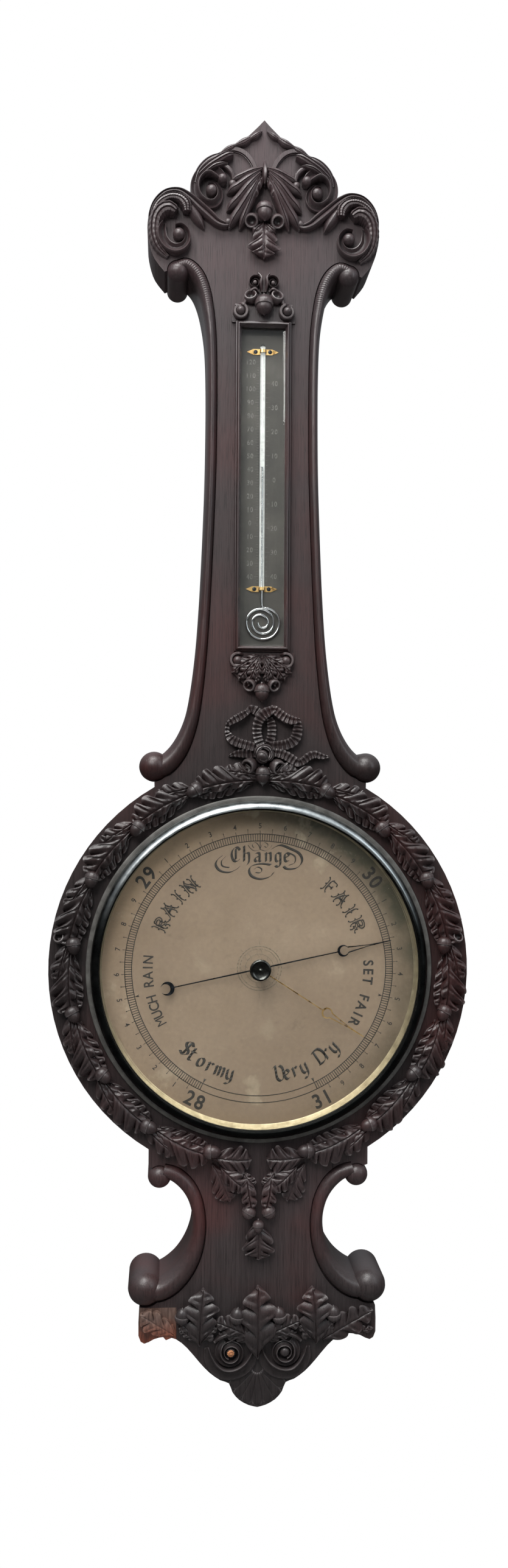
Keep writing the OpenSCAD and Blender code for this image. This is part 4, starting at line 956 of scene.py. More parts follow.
def pendant():
    s = Shape()
    half = Shape()
    for k, (base, tip, width, lobes, depth, rise, bend, level) in enumerate([((44, -184), (27.0, -219.5),
            (24, 22), (4, 3), 0.38, 5.5, -0.05, 0), ((46, -176), (7.0, -179.0), (27, 28), (3, 3), 0.4, 10.0,
            0.06, 0.5), ((36, -186), (11.0, -207.0), (19, 19), (3, 2), 0.36, 10.0, 0.05, 1.0),
            ((12.0, -192), (6.4, -226.5), (15, 14.5), (3, 2), 0.36, 11.5, 0.04, 1.5),
            ((16, -190), (3.0, -204.0), (10, 10), (3, 3), 0.3, 9.0, 0.05, 0.5)]):
        half.leaf(base, tip, width, lobes, rise, bend=bend, seed=0.5 * k, level=level, depth=depth)
    half.acorn(9.6, -228.8, 6.0, -62, lift=2.5, tilt=4, long=0.75)
    s.join(half.both())
    s.leaf((0, -236), (0, -273.8), 31, 3, 9.0, depth=0.52, seed=0.4, sweep=0.8, blunt=0.5, ruffle=0.8)
    s.acorn(-0.5, -240.5, 4.7, -90, lift=6.0, tilt=2, long=1.0)
    return s


carve("ribbon_bow", ribbon_bow())
carve("garland_knot", garland_knot())
for word, side in SIDES:
    carve(f"garland_{word}_leaves", garland_leaves(side))
    carve(f"garland_{word}_acorns", garland_acorns(side))
carve("garland_pendant", pendant())


# ---------------------------------------------------------------- apron
def apron_leaves():
    s = Shape()
    s.leaf((0, -367), (0, -298.8), 38, 3, 11.5, depth=0.64, ruffle=1.2, sweep=0.7, seed=0.0, blunt=0.6)
    half = Shape()
    half.leaf((55, -354), (51.5, -300.5), 34, 3, 11.0, bend=-0.03, depth=0.62, seed=0.4, sweep=0.7,
        blunt=0.6, ruffle=1.2)
    half.leaf((3, -349), (42, -331), (22, 15), (4, 3), 9.5, bend=0.1, seed=0.2, depth=(0.52, 0.4), sweep=0.9)
    half.leaf((5, -353), (37, -343), (9, 10), (3, 3), 6.5, bend=0.16, seed=0.9)
    half.leaf((54, -352), (38.5, -336), (9, 9), 2, 7.0, bend=-0.1, seed=0.6)
    half.leaf((57, -351), (74, -331), (9, 10), 2, 6.5, bend=0.1, seed=0.3)
    half.ball(44.8, -347.5, 3.6, 5.0)
    s.join(half.both())
    s.leaf((60, -351), (109.5, -323), (27, 24), (4, 3), 9.0, bend=0.05, seed=0.1, depth=0.5, sweep=0.8,
        ruffle=0.8)
    s.leaf((84, -343), (110, -341), (9, 7), (3, 2), 5.0, bend=-0.06, seed=0.7)
    s.leaf((-57, -351), (-75, -338), (8, 11), 3, 5.5, bend=-0.1, seed=0.8)
    return s


def apron_acorns():
    half = Shape()
    half.acorn(20.2, -326.5, 6.2, 98, lift=2.5, tilt=6, long=0.95)
    half.acorn(71.8, -326, 6.0, 94, lift=2.0, tilt=6, long=0.95)
    return half.both()


COVE = [(-1, 0), (-1, 0.55), (-0.95, 0.86), (-0.84, 1.0), (-0.66, 0.9), (-0.45, 0.62), (-0.15, 0.4),
    (0.2, 0.3), (0.55, 0.3), (0.8, 0.36), (0.92, 0.32), (1, 0.2), (1, 0)]


def apron_volutes():
    half = Shape()
    # broad hollow scroll sweeping under the volute, with its lip on the outside
    half.strip([(48, -357, 4, 4), (46.6, -365.5, 9, 7), (42, -374.4, 11.5, 8), (34.5, -380.4, 12, 8.5),
        (25.5, -381.8, 12, 8.5), (16.4, -379.6, 12, 8), (8.6, -373.6, 11, 7.5), (3.6, -364.5, 8, 6),
        (2.2, -355, 4, 4)], COVE)
    half.strip(spiral(25.5, -361, 12.6, 7.0, 60, -1.35, 6.4, 8.5, 0.55, 0.9), DISHED, per=3)
    half.ball(25.6, -360.6, 5.0, 8.0)
    half.strip([(4, -351, 2, 2), (9.5, -346.5, 4, 5), (18, -343.5, 4.5, 6.5), (27, -343.4, 4.5, 7),
        (35, -346, 4, 7), (41, -351, 3, 5)], ROUND)
    return half.both()


def apron_shell():
    s = Shape()
    for k in range(-4, 5):
        a = math.radians(-90 + k * 18.5)
        reach = 35 - 0.5 * k * k
        rib = ((5, 1.2, 0.3), (0.6 * reach, 6.4, 0.9), (reach - 3, 9.6, 1.1), (reach, 5.5, 0.5))
        s.strip([(r * math.cos(a), -377 + r * math.sin(a), w, h) for r, w, h in rib], ROUND)
    return s


carve("apron_leaves", apron_leaves())
carve("apron_acorns", apron_acorns())
carve("apron_volutes", apron_volutes())
carve("apron_shell", apron_shell())


# ---------------------------------------------------------------- thermometer
def moulding(x0, z0, x1, z1, profile):
    """A frame with mitred corners. Profile points are (inset, d), as a closed ring."""
    s = Shape()
    rows = []
    for right, top in ((0, 0), (1, 0), (1, 1), (0, 1)):
        rows.append([(x1 - q if right else x0 + q, z1 - q if top else z0 + q, d) for q, d in profile])
    s.tube(rows, loop=True)
    return s


FRAME_PROFILE = [(0, 0), (0, 4.8), (0.5, 5.6), (1.3, 5.9), (1.5, 5.2), (1.8, 7.4), (2.4, 8.6), (3.3, 9),
    (3.9, 8.6), (4.1, 7.0), (4.6, 6.2), (5.2, 4.6), (5.6, 4.2), (5.6, 2.1), (4.6, 2.1), (4.6, 0)]
FRAME_PROFILE = [(q, BOARD + h) for q, h in FRAME_PROFILE]
frame_moulding = moulding(*THERM_LOW[:2], *THERM_HIGH[:2], FRAME_PROFILE)
frame_moulding.make("thermometer_frame_moulded", OAK_ROLL, nodes=["thermometer_frame"], slot="oak", sharp=25)

PANE_LOW, PANE_HIGH = span("thermometer_glass")
PANE_BEVEL = 2.6
pane = Shape()
rows = []
for inset, d in ((0, PANE_LOW[2]), (0, PANE_HIGH[2] - 1.2), (PANE_BEVEL, PANE_HIGH[2])):
    (x0, z0), (x1, z1) = PANE_LOW[:2] + inset, PANE_HIGH[:2] - inset
    rows.append([(x0, z0, d), (x1, z0, d), (x1, z1, d), (x0, z1, d)])
pane.tube(rows)
pane.make("thermometer_pane", GLASS, nodes=["thermometer_glass"], slot="glass", sharp=10, worn=False)

PLATE_FRONT = span("thermometer_scale_plate")[1][2]
_, TUBE_TOP, TUBE_FRONT = span("thermometer_tube")[1]
TUBE_R = (TUBE_FRONT - PLATE_FRONT) / 2
TUBE_D = PLATE_FRONT + TUBE_R
STEM_FOOT = 360.0
BULB_Z = 328.7
SPIRAL_R = 4.9
SPIRAL_STEP = 2.72
NECK_R = 14.0


def bulb_path():
    """Centreline of the coiled bulb from its inner end to the foot of the stem."""
    points = []
    for k in range(5):
        cx = 0.5 * SPIRAL_STEP * (1 if k % 2 == 0 else -1)
        first = 180 if k % 2 == 0 else 0
        for a in np.radians(np.arange(first, first + 180, 10)):
            r = SPIRAL_R + k * SPIRAL_STEP
            points.append((cx + r * math.cos(a), BULB_Z + r * math.sin(a)))
    right = SPIRAL_R + 4.5 * SPIRAL_STEP
    bend = right - NECK_R
    for a in np.radians(np.arange(0, 90, 10)):
        points.append((bend + NECK_R * math.cos(a), BULB_Z + NECK_R * math.sin(a)))
    for a in np.radians(np.arange(270, 180, -15)):
        points.append((bend + bend * math.cos(a), BULB_Z + NECK_R + bend + bend * math.sin(a)))
    points += [(0, BULB_Z + NECK_R + bend + 4), (0, STEM_FOOT - 2), (0, STEM_FOOT + 1)]
    return np.array(points)


def along_path(shape, xz, r, depth):
    """A round rod along the points."""
    rows = []
    for (x, z), (nx, nz) in zip(xz, side_normals(xz)):
        ring = [(r * math.cos(a), r * math.sin(a)) for a in np.linspace(0, 2 * math.pi, 12, endpoint=False)]
        rows.append([(x + c * nx, z + c * nz, depth + s) for c, s in ring])
    shape.tube(rows)


ENAMEL = engraving("tube_enamel", (0.36, 0.36, 0.36), (0.58, 0.58, 0.57))
STEM = TUBE_TOP - STEM_FOOT
stem = Shape()
stem.lathe((0, STEM_FOOT, TUBE_D), (0, 1, 0), [(0, 0.6), (0.4, TUBE_R * 0.8), (1.6, TUBE_R),
    (STEM - 3, TUBE_R), (STEM - 1.2, TUBE_R * 0.8), (STEM, 0.4)], 32)
stem.make("thermometer_stem", TUBE_GLASS, nodes=["thermometer_tube"], slot="glass", worn=False)
mercury = Shape()
along_path(mercury, bulb_path(), 1.15, PLATE_FRONT + 1.6)
thread = [(0.0, STEM_FOOT), (0.0, STEM_FOOT + 40), (0.0, span("thermometer_mercury")[1][1])]
along_path(mercury, np.array(thread), 0.5, TUBE_D)
mercury.make("mercury_column_and_bulb", MERCURY, nodes=["thermometer_mercury"], slot="mercury", worn=False)
enamel = Shape()  # white backing inside the stem, which makes the tube show pale
enamel.box((-1.25, STEM_FOOT + 1.5, TUBE_D - 1.3), (1.25, TUBE_TOP - 2.5, TUBE_D - 0.9))
enamel.make("thermometer_enamel", ENAMEL, slot="glass", worn=False)


# ---------------------------------------------------------------- lettering
GLYPHS = {}
CAP = 0.7  # height of a capital in Blender's own font
LINE_T = 0.12  # thickness of the wax in the engraved lines


def glyph(char, bold):
    """A letter of Blender's own font as a flat solid: vertices with cap height 1, and faces."""
    if (char, bold) not in GLYPHS:
        curve = bpy.data.curves.new("glyph", "FONT")
        curve.body = char
        curve.extrude = 0.05
        curve.offset = bold
        curve.resolution_u = 4
        holder = new_object("glyph", curve)
        bpy.context.view_layer.update()
        graph = bpy.context.evaluated_depsgraph_get()
        mesh = bpy.data.meshes.new_from_object(holder.evaluated_get(graph))
        verts = np.array([v.co for v in mesh.vertices]) / CAP
        faces = [tuple(p.vertices) for p in mesh.polygons]
        bpy.data.objects.remove(holder)
        bpy.data.curves.remove(curve)
        bpy.data.meshes.remove(mesh)
        GLYPHS[(char, bold)] = (verts, faces)
    return GLYPHS[(char, bold)]


def put_glyph(shape, char, centre, turn, height, depth=DIAL, wide=1.0, bold=0.012):
    """Places a letter by its middle; turn is clockwise in degrees."""
    verts, faces = glyph(char, 0.0 if char == "M" else bold)
    low, high = verts.min(0), verts.max(0)
    flat = verts - [(low[0] + high[0]) / 2, 0.5, 0]
    a = math.radians(-turn)
    x, y = flat[:, 0] * height * wide, flat[:, 1] * height
    d = np.where(flat[:, 2] > 0, LINE_T, 0.0)
    c, s = math.cos(a), math.sin(a)
    shape.add(np.stack([centre[0] + x * c - y * s, centre[1] + x * s + y * c, depth + d], 1), faces)


def arc_word(shape, word, middle, radius, height, spacing, inward=False, put=put_glyph, **style):
    """A word round the dial; its middle is at middle degrees clockwise from the top."""
    step = spacing / radius * 180 / math.pi
    for i, char in enumerate(word):
        if char == " ":
            continue
        offset = (i - (len(word) - 1) / 2) * step
        a = middle + (-offset if inward else offset)
        put(shape, char, on_ring(a, radius), a + (180 if inward else 0), height, **style)


# strokes of the blackletter, in units of the x-height
PEN = {"C": [[(0.95, 1.3), (0.62, 1.62), (0.22, 1.4), (0.05, 0.8), (0.25, 0.15), (0.62, 0.0), (0.95, 0.3)],
    [(0.5, 1.45), (0.5, 0.25)]], "h": [[(0.0, 1.7), (0.08, 1.6), (0.08, 0.05)], [(0.08, 0.8), (0.42, 1.0),
    (0.6, 0.82), (0.6, 0.0), (0.42, -0.35)]], "a": [[(0.1, 0.9), (0.35, 1.0), (0.55, 0.85), (0.55, 0.1),
    (0.7, 0.0)], [(0.55, 0.6), (0.2, 0.5), (0.05, 0.25), (0.2, 0.0), (0.55, 0.18)]],
    "n": [[(0.0, 0.9), (0.1, 0.95), (0.1, 0.03)], [(0.1, 0.8), (0.45, 1.0), (0.6, 0.85), (0.6, 0.03)]],
    "g": [[(0.5, 0.9), (0.25, 1.0), (0.05, 0.8), (0.05, 0.2), (0.25, 0.0), (0.52, 0.2)],
    [(0.55, 1.0), (0.55, -0.3), (0.3, -0.6), (0.0, -0.45)]], "e": [[(0.1, 0.48), (0.5, 0.62), (0.5, 0.85),
    (0.3, 1.0), (0.08, 0.8), (0.08, 0.2), (0.3, 0.0), (0.55, 0.15)]], "S": [[(0.85, 1.35), (0.5, 1.65),
    (0.1, 1.35), (0.25, 0.95), (0.7, 0.72), (0.85, 0.35), (0.5, 0.0), (0.05, 0.2)], [(0.48, 1.55),
    (0.48, 0.1)]], "t": [[(0.15, 1.4), (0.15, 0.15), (0.35, 0.0), (0.5, 0.1)], [(-0.05, 0.93),
    (0.45, 1.0)]], "o": [[(0.3, 1.0), (0.05, 0.8), (0.05, 0.2), (0.3, 0.0), (0.55, 0.2), (0.55, 0.8),
    (0.3, 1.0)]], "r": [[(0.0, 0.9), (0.1, 0.95), (0.1, 0.03)], [(0.1, 0.8), (0.38, 1.0), (0.52, 0.86)]],
    "m": [[(-0.2, 0.9), (-0.1, 0.95), (-0.1, 0.03)], [(-0.1, 0.8), (0.15, 1.0), (0.28, 0.85), (0.28, 0.03)],
    [(0.28, 0.8), (0.55, 1.0), (0.68, 0.85), (0.68, 0.03)]], "y": [[(0.05, 1.0), (0.05, 0.25), (0.3, 0.0),
    (0.55, 0.2)], [(0.55, 1.0), (0.55, -0.1), (0.3, -0.5), (0.02, -0.45)]],
    "V": [[(-0.1, 1.45), (0.15, 1.6), (0.15, 0.4), (0.5, 0.0), (0.85, 0.35), (0.85, 1.3), (0.55, 1.6)]],
    "D": [[(0.12, 1.5), (0.12, 0.1)], [(-0.1, 1.5), (0.6, 1.58), (0.95, 1.1), (0.95, 0.5), (0.6, 0.05),
    (0.0, 0.05)]]}
PEN_WIDE = 1.05
NIB = 0.155
NIB_TURN = math.radians(38)


def pen_stroke(shape, points, nib_x, nib_y):
    """Sweeps a broad nib along the points. Each step is its own thin prism."""
    for k, ((x0, y0), (x1, y1)) in enumerate(zip(points[:-1], points[1:])):
        length = math.hypot(x1 - x0, y1 - y0)
        if length < 1e-6:
            continue
        ox, oy = nib_x, nib_y
        width = abs((x1 - x0) * oy - (y1 - y0) * ox) / length
        least = 0.16 * math.hypot(nib_x, nib_y)
        if width < least:  # along the nib: keep a hairline
            ox, oy = -(y1 - y0) / length * least, (x1 - x0) / length * least
        shape.plate([(x0 - ox, y0 - oy), (x0 + ox, y0 + oy), (x1 + ox, y1 + oy), (x1 - ox, y1 - oy)], DIAL,
            DIAL + LINE_T + 0.02 * (k % 4))


def put_pen(shape, char, centre, turn, height):
    """Places a blackletter by the middle of its x-height; height is the x-height."""
    a = math.radians(-turn)
    c, s = math.cos(a), math.sin(a)

    def place(x, y):
        x, y = (x - 0.35) * height * PEN_WIDE, (y - 0.5) * height
        return centre[0] + x * c - y * s, centre[1] + x * s + y * c

    nx, ny = NIB * height * math.cos(NIB_TURN), NIB * height * math.sin(NIB_TURN)
    for stroke in PEN[char]:
        pts = smooth_path(stroke, 3) if len(stroke) > 2 else np.array(stroke)
        pen_stroke(shape, [place(x, y) for x, y in pts], nx * c - ny * s, nx * s + ny * c)


def swash(shape, points, broad):
    """A flourish of the same pen."""
    pen_stroke(shape, smooth_path(points, 7), broad * math.cos(NIB_TURN), broad * math.sin(NIB_TURN))


def tick(shape, degrees, r0, r1, broad):
    out = on_ring(degrees, 1.0)
    side = np.array([out[1], -out[0]]) * broad / 2
    a, b = out * r0, out * r1
    shape.plate([a - side, a + side, b + side, b - side], DIAL, DIAL + LINE_T)


def circle(shape, radius, broad, first, step, thick):
    """A circle round the dial from first degrees on, broad on each side of its radius."""
    inner, outer = radius - broad, radius + broad
    for a in range(first, first + 360, step):
        b = a + step
        outline = [on_ring(a, inner), on_ring(a, outer), on_ring(b, outer), on_ring(b, inner)]
        shape.plate(outline, DIAL, DIAL + thick)


SCALE_IN, SCALE_OUT = 121.0, 127.7
SCALE_HALF = 154.0  # 28 to 31 inches lie between minus and plus this
INCH = 2 * SCALE_HALF / 3


def dial_scale():
    s = Shape()
    for k in range(301):
        a = -SCALE_HALF + k * INCH / 100
        tick(s, a, SCALE_IN, SCALE_OUT, 0.74 if k % 10 == 0 else 0.58)
        if k % 10 == 0 and k % 100:
            tick(s, a, SCALE_OUT, SCALE_OUT + 3.2, 0.45)
        elif k % 10 == 5:
            tick(s, a, SCALE_OUT, SCALE_OUT + 3.8, 0.36)
            point = on_ring(a, SCALE_OUT + 4.3)
            s.plate([point + on_ring(t, 0.55) for t in (0, 60, 120, 180, 240, 300)], DIAL, DIAL + LINE_T)
    for radius in (SCALE_IN, SCALE_OUT):
        circle(s, radius, 0.36, -180, 2, LINE_T)
    for a, size in ((-SCALE_HALF, 5), (-SCALE_HALF + INCH / 2, 4.5), (SCALE_HALF - INCH / 2, 4.5),
            (SCALE_HALF, 5)):
        tip, base = on_ring(a, SCALE_IN), on_ring(a, SCALE_IN - size)
        side = on_ring(a + 90, 1.2)
        s.plate([tip, base + side, base * 1.008, base - side], DIAL, DIAL + LINE_T)
    # ornament under the middle of the scale
    for m in (-1, 1):
        swash(s, [(0, 113), (m * 1.6, 117), (m * 4.5, 119.4), (m * 7.5, 117.5), (m * 6.2, 114.8),
            (m * 4.2, 116)], 0.36)
        swash(s, [(0, 113), (m * 5, 111.5), (m * 9, 113.8), (m * 11.5, 117)], 0.3)
    swash(s, [(0, 121), (0, 117), (0, 112.5)], 0.42)
    return s


def dial_numerals():
    s = Shape()
    for inch in range(3):
        for tenth in range(1, 10):
            a = -SCALE_HALF + inch * INCH + tenth * INCH / 10
            put_glyph(s, str(tenth), on_ring(a, 135.6), a + (180 if abs(a) > 100 else 0), 5.0, wide=0.9)
    for k in range(4):
        a = (-SCALE_HALF, -SCALE_HALF + INCH, SCALE_HALF - INCH, SCALE_HALF)[k]
        arc_word(s, str(28 + k), a, 138.4, 13.4, 10.4, k in (0, 3), wide=0.92, bold=0.022)
    arc_word(s, "MUCH RAIN", -101.8, 106.0, 9.4, 7.6, wide=0.84, bold=0.014)
    arc_word(s, "SET FAIR", 103.5, 104.5, 9.4, 8.4, wide=0.88, bold=0.024)
    return s


# strokes of the ornate capitals, in units of their height: heavy ones are hollow and forked, thin ones single
HEAVY = {"R": [[(-0.27, -0.5), (-0.27, 0.5)], [(0.0, 0.0), (0.3, -0.5)]],
    "A": [[(-0.36, -0.5), (-0.02, 0.46)], [(0.36, -0.5), (0.02, 0.46)]], "I": [[(0.0, -0.5), (0.0, 0.5)]],
    "N": [[(-0.33, -0.5), (-0.33, 0.5)], [(0.33, -0.5), (0.33, 0.5)], [(-0.3, 0.42), (0.3, -0.42)]],
    "F": [[(-0.24, -0.5), (-0.24, 0.5)]]}
THIN = {"R": [[(-0.18, 0.47), (0.1, 0.49), (0.33, 0.36), (0.34, 0.14), (0.12, 0.0), (-0.18, 0.0)],
    [(-0.18, 0.34), (0.06, 0.36), (0.19, 0.26), (0.08, 0.13), (-0.18, 0.12)]],
    "A": [[(-0.2, -0.12), (0.2, -0.12)], [(-0.17, -0.04), (0.17, -0.04)]], "I": [], "N": [],
    "F": [[(-0.14, 0.45), (0.26, 0.47), (0.33, 0.3)], [(-0.14, 0.02), (0.14, 0.02)], [(0.14, 0.13),
    (0.14, -0.09)]]}
STEM_HALF = 0.085


def fine_line(shape, points, broad, lift=0.0):
    """A line broad on each side. Steps that overlap differ a little in height."""
    for k, (p, q) in enumerate(zip(points[:-1], points[1:])):
        along = (q - p) / (np.linalg.norm(q - p) + 1e-9)
        n = np.array([-along[1], along[0]]) * broad
        p, q = p - along * broad * 0.5, q + along * broad * 0.5
        top = DIAL + LINE_T + 0.02 * (k % 3) + lift
        shape.plate([p - n, p + n, q + n, q - n], DIAL, top)


def put_ornate(shape, char, centre, turn, height):
    """A hollow capital whose stems fork into small balls at their ends and carry spurs half way."""
    across, out = on_ring(turn + 90, height), on_ring(turn, height)

    def place(x, y):
        return centre + across * x + out * y

    for number, (start, end) in enumerate(HEAVY[char]):
        start, end = np.array(start), np.array(end)
        u = (end - start) / np.linalg.norm(end - start)
        n = np.array([-u[1], u[0]])
        mid = (start + end) / 2
        lift = 0.07 * (number + 1)
        for m in (-1, 1):
            side = n * m * STEM_HALF
            rail = [start + n * m * 0.19, start + u * 0.05 + side * 1.5, start + u * 0.16 + side,
                mid - u * 0.06 + side, mid + n * m * 0.155, mid + u * 0.06 + side, end - u * 0.16 + side,
                end - u * 0.05 + side * 1.5, end + n * m * 0.19]
            fine_line(shape, [place(*v) for v in smooth_path(rail, 3)], 0.42, lift)
            for ball in (start + n * m * 0.19, end + n * m * 0.19, mid + n * m * 0.155):
                c = place(*ball)
                shape.plate([c + on_ring(t, 0.75) for t in range(0, 360, 30)], DIAL,
                    DIAL + LINE_T + 0.07 + lift)
        fine_line(shape, [place(*(start + u * 0.2 - n * 0.03)), place(*(end - u * 0.2 - n * 0.03))], 0.3,
            lift)
    for path in THIN[char]:
        fine_line(shape, [place(*v) for v in (smooth_path(path, 4) if len(path) > 2 else path)], 0.45, 0.3)


def dial_ornate_words():
    """RAIN and FAIR as hollow ornate capitals."""
    s = Shape()
    for word, middle in (("RAIN", -53.0), ("FAIR", 53.5)):
        arc_word(s, word, middle, 102.5, 13.4, 15.0, put=put_ornate)
    return s


def dial_blackletter():
    """Change with its flourishes, Stormy and Very Dry."""
    s = Shape()
    for char, x in zip("Change", (-24.5, -12.8, -2.3, 7.9, 17.6, 26.0)):
        put_pen(s, char, (x, 105.6), 0, 8.4)
    for points, broad in [([(-35.6, 107.2), (-41, 102.5), (-42, 97.4), (-37.4, 92.4), (-29.3, 91.2),
            (-22.1, 94.2), (-19.4, 96.8)], 0.95), ([(-32.5, 106.3), (-36.5, 102), (-35.8, 97.2),
            (-29.3, 95.6)], 0.6), ([(10.3, 98.3), (1.3, 99.4), (-7.7, 97.4), (-10.4, 92.9), (-7.7, 87.5),
            (0.4, 84.8), (9.4, 87.1), (12.9, 91.1)], 1.0), ([(-5.9, 93.8), (-2.3, 96.2), (1.6, 94.2),
            (0.4, 90.9), (-4.1, 91.1)], 0.55), ([(11.1, 113.5), (19.2, 117.1), (28.2, 114), (37.2, 109.3),
            (40.2, 102), (35.4, 95.6), (26.4, 94.4), (22.4, 96.9)], 1.05),
            ([(27, 110), (33.2, 106.4), (33, 100.4), (27.4, 98)], 0.6)]:
        swash(s, points, broad * 1.3)
    arc_word(s, "Stormy", -151.0, 104.5, 9.0, 10.0, inward=True, put=put_pen)
    arc_word(s, "Very Dry", 153.0, 104.5, 9.0, 8.6, inward=True, put=put_pen)
    return s


def dial_rosette():
    s = Shape()
    for radius, broad in ((21, 0.35), (18.6, 0.25), (13.5, 0.25)):
        circle(s, radius, broad, 0, 10, LINE_T * 0.5)
    for k in range(8):
        a = k * 45
        tip = on_ring(a, 18.4)
        for m in (-1, 1):
            swash(s, [tuple(on_ring(a, 11)), tuple(on_ring(a + m * 9, 14)), tuple(on_ring(a + m * 7, 17)),
                tuple(tip)], 0.22)
        tick(s, a, 22.5, 28 if k % 2 == 0 else 25.5, 0.3)
    return s


for build in (dial_scale, dial_numerals, dial_ornate_words, dial_blackletter):
    build().make(build.__name__, INK, sharp=180, worn=False)
dial_rosette().make("dial_rosette", FAINT, sharp=180, worn=False)


def plate_numerals():
    """Worn Fahrenheit figures on the left, Celsius on the right, with fine divisions beside the stem."""
    s = Shape()

    def put(text, x, z, height):
        for i, char in enumerate(text):
            put_glyph(s, char, (x + (i - (len(text) - 1) / 2) * height * 0.72, z), 0, height, PLATE_FRONT,
                0.85)

    for side, count, top, apart, first, fine in ((-1, 17, 577.5, 12.8, 120, 2.56), (1, 9, 557.5, 23.04, 40,
            4.61)):
        for k in range(count):
            z = top - apart * k
            put(str(abs(first - 10 * k)), side * 11.5, z, 4.6)
            for j in range(5):
                mark = z - fine * j
                if mark > STEM_FOOT + 6:
                    left, right = sorted((side * 3.4, side * (7.2 if j == 0 else 5.2)))
                    s.box((left, mark - 0.12, PLATE_FRONT), (right, mark + 0.12, PLATE_FRONT + 0.1))
    return s


plate_numerals().make("thermometer_figures", PLATE_INK, sharp=180, worn=False)


# ---------------------------------------------------------------- bezel, sight ring and knob
SEG = 160


def dial_ring(name, material, profile, slot, nodes=()):
    """A ring round the dial's axis; profile points are (radius, d), as a closed ring."""
    s = Shape()
    rows = []
    for k in range(SEG):
        a = 2 * math.pi * k / SEG
        rows.append([(r * math.cos(a), r * math.sin(a), d) for r, d in profile])
    s.tube(rows, loop=True)
    s.make(name, material, nodes=nodes, slot=slot, sharp=30, worn=False)


dial_ring("sight_ring", GILT, [(DIAL_R - 4.4, DIAL + 0.1), (DIAL_R - 3.9, DIAL + 0.5), (DIAL_R - 1.4,
    GLASS_BACK - 1.6), (DIAL_R - 0.9, GLASS_BACK - 0.1), (DIAL_R + 0.5, GLASS_BACK - 0.1), (DIAL_R + 0.5,
    DIAL + 0.1)], nodes=["glass_retaining_ring"], slot="gilt_brass")

BEZEL_D = span("bezel")[1][2]
FLANGE_D = BOARD + 4
BEAD_IN, BEAD_OUT = DIAL_R - 1.4, 159.4
WALL_R = 156.6  # the bead's inner radius under its lip, where the inner wall fits
dial_ring("bezel_flange", FLANGE, [(BEZEL_R, BOARD - 0.2), (BEZEL_R, FLANGE_D - 1.0), (BEZEL_R - 0.35,
    FLANGE_D - 0.3), (BEZEL_R - 1.0, FLANGE_D), (BEAD_OUT + 1.2, FLANGE_D), (BEAD_OUT + 0.9,
    FLANGE_D + 0.6), (BEAD_OUT + 0.2, FLANGE_D + 0.6), (BEAD_OUT - 0.1, FLANGE_D), (BEAD_OUT - 0.1,
    BOARD - 0.2)], slot="bronze")
bead = [(BEAD_OUT - 0.1, BOARD - 0.1), (BEAD_OUT - 0.1, FLANGE_D + 0.2)]
for a in np.radians(np.arange(4, 90, 9)):
    r = BEAD_IN + 1.4 + (BEAD_OUT - BEAD_IN - 1.4) * math.cos(a)
    bead.append((r, FLANGE_D + 1.2 + (BEZEL_D - FLANGE_D - 1.5) * math.sin(a)))
bead += [(BEAD_IN + 0.9, BEZEL_D - 0.35), (BEAD_IN + 0.9, GLASS_FRONT + 1.0), (WALL_R, GLASS_FRONT + 1.0),
    (WALL_R, BOARD - 0.1)]
dial_ring("bezel_moulding", BRONZE, bead, nodes=["bezel"], slot="bronze")
# the inner wall is painted near black: painted shade
dial_ring("bezel_inner_wall", SHADE_BRONZE, [(BEAD_IN + 1.0, BEZEL_D - 0.42), (BEAD_IN + 0.35, BEZEL_D - 0.75),
    (BEAD_IN, BEZEL_D - 1.5), (BEAD_IN, BEZEL_D - 4.0), (BEAD_IN - 0.5, BEZEL_D - 4.4), (BEAD_IN - 0.5,
    GLASS_FRONT + 0.15), (153.3, GLASS_FRONT + 0.15), (153.5, DIAL + 0.6), (WALL_R - 0.1, DIAL + 0.6),
    (WALL_R - 0.1, GLASS_FRONT + 0.9), (BEAD_IN + 1.0, GLASS_FRONT + 0.9)], slot="bronze")

KNOB_BACK = span("set_knob")[0][2]
KNOB_BASE = GLASS_FRONT + 0.25
knob = Shape()
knob.lathe((0, 0, KNOB_BASE), (0, 0, 1), [(0, 1.5), (0.02, 7.8), (0.7, 9.2), (2.0, 10.0), (3.6, 10.25),
    (4.9, 10.0), (5.7, 9.5), (6.1, 8.9), (6.15, 8.4), (5.6, 7.9), (5.0, 6.8), (4.4, 4.8), (4.2, 2.6),
    (4.3, 1.4), (4.8, 0.8), (5.1, 0.3)], 72)
knob.lathe((0, 0, KNOB_BACK), (0, 0, 1), [(0, 1.5), (KNOB_BASE - KNOB_BACK + 0.5, 1.5)], 24)
knob.make("set_knob_turned", DARK_BRONZE, body="set_hand", nodes=["set_knob"], slot="bronze", sharp=50,
    worn=False)

button = Shape()
button.lathe((-25.6, -360.6, BOARD + 6.5), (0.1, -0.1, 1), [(0, 3.2), (0.8, 3.1), (1.5, 2.4), (1.2, 1.6),
    (2.0, 1.0), (2.3, 0.3)], 20, 0.12, 5, 9)
button.make("volute_button_broken", BROKEN, nodes=["volute_button"], slot="new_oak", worn=False)

patch_leaf = Shape()
patch_leaf.leaf((-78, -344), (-111, -323.5), (24, 20), (3, 3), 6.0, bend=-0.04, seed=0.3, ruffle=0.5,
    foot=0.0, level=2.0, depth=0.4)
patch_leaf.make("corner_patch_leaf", NEW_OAK_LEAF, slot="new_oak")


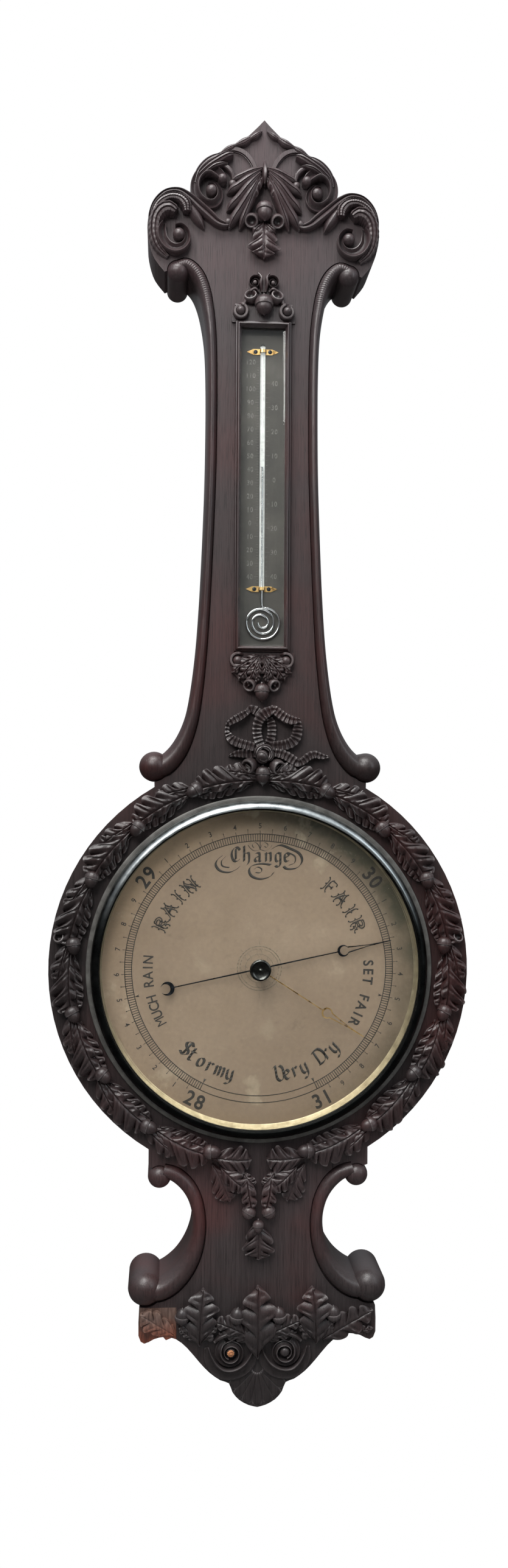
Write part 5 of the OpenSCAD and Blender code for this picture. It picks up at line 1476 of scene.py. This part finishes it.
# ---------------------------------------------------------------- rounded edges of the carried-over case
for name, width in (("case_body", 1.1), ("corner_patch", 0.8), ("back_cover", 0.8)):
    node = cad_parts[name]
    weld = node.modifiers.new("weld", "WELD")
    weld.merge_threshold = 1e-5
    bevel = node.modifiers.new("edge", "BEVEL")
    bevel.width = width * MM
    bevel.segments = 3
    bevel.limit_method = "ANGLE"
    bevel.angle_limit = math.radians(50)
    bevel.harden_normals = False


# ---------------------------------------------------------------- stage, light and camera
def floor():
    """A pale slab with rounded corners under the object, in metres."""
    size, corner = 1.3, 0.1
    mesh = bpy.data.meshes.new("floor")
    ring = []
    for cx, cy, first in ((1, 1, 0), (-1, 1, 90), (-1, -1, 180), (1, -1, 270)):
        for a in range(0, 91, 15):
            t = math.radians(first + a)
            x = cx * (size - corner) + corner * math.cos(t)
            ring.append((x, -0.85 + cy * (size - 0.25 - corner) + corner * math.sin(t)))
    slab = Shape()
    slab.plate(ring, -0.78, -0.76)
    mesh.from_pydata(slab.verts, [], slab.faces)
    p = Paint("pale_floor", Roughness=0.8)
    p.colour(p.ramp(p.noise(3.0), [(0.3, (0.86, 0.86, 0.85)), (0.7, (0.9, 0.9, 0.89))]))
    mesh.materials.append(p.mat)
    obj = new_object("floor", mesh)
    obj.visible_glossy = False  # its reflection showed too brightly in the bezel's bead


floor()


def lamp(name, place, target, size, power, colour):
    light = bpy.data.lights.new(name, "AREA")
    light.shape = "RECTANGLE"
    light.size, light.size_y = size
    light.energy = power
    light.color = colour
    obj = new_object(name, light)
    obj.location = place
    obj.rotation_mode = "QUATERNION"
    obj.rotation_quaternion = (Vector(target) - Vector(place)).to_track_quat("-Z", "Y")


lamp("key", (-0.35, -1.0, 2.3), (0, -0.05, 0.25), (1.5, 0.9), 60, (1.0, 0.99, 0.97))
lamp("low_key", (-0.6, -1.2, 1.1), (0, -0.05, -0.3), (1.0, 0.5), 16, (1.0, 0.98, 0.96))
lamp("window", (1.6, -1.3, 1.0), (0, 0, 0.1), (0.6, 1.4), 8, (0.9, 0.96, 1.0))

world = bpy.data.worlds.new("studio")
world.use_nodes = True
sky = Graph(world.node_tree)
sky.tree.nodes.clear()
upward = sky.add("ShaderNodeSeparateXYZ",
    Vector=sky.add("ShaderNodeTexCoord").outputs["Generated"]).outputs["Z"]
shades = [(0.52, (0.085, 0.083, 0.081)), (0.92, (0.95, 0.99, 1.04))]
glow = sky.ramp(sky.plus(sky.times(upward, 0.5), 0.5), shades)
dim = sky.add("ShaderNodeBackground", Color=glow, Strength=0.8).outputs[0]
white = sky.add("ShaderNodeBackground", Color=(1, 1, 1, 1), Strength=1.0).outputs[0]
seen = sky.add("ShaderNodeLightPath").outputs["Is Camera Ray"]
sky.add("ShaderNodeOutputWorld", Surface=sky.mix_shaders(seen, dim, white))
bpy.context.scene.world = world
bpy.context.scene.view_settings.view_transform = "Standard"

CAMERA_AT = Vector((-0.0886, -1.3229, 0.1694))
YAW, PITCH, ROLL = 0.0648, 0.0045, 0.0058
FOCAL_PX, IMAGE_H = 2200.0, 2576.0
SENSOR = 36.0
forward = Vector((math.sin(YAW) * math.cos(PITCH), math.cos(YAW) * math.cos(PITCH), math.sin(PITCH)))
level = Vector((math.cos(YAW), -math.sin(YAW), 0))
upright = level.cross(forward)
right = level * math.cos(ROLL) + upright * math.sin(ROLL)
up = -level * math.sin(ROLL) + upright * math.cos(ROLL)
camera_data = bpy.data.cameras.new("camera")
camera_data.sensor_fit = "VERTICAL"
camera_data.sensor_height = SENSOR
camera_data.sensor_width = SENSOR
camera_data.lens = FOCAL_PX / IMAGE_H * SENSOR
camera = new_object("camera", camera_data)
camera.matrix_world = Matrix.Translation(CAMERA_AT) @ Matrix((right, up, -forward)).transposed().to_4x4()
bpy.context.scene.camera = camera
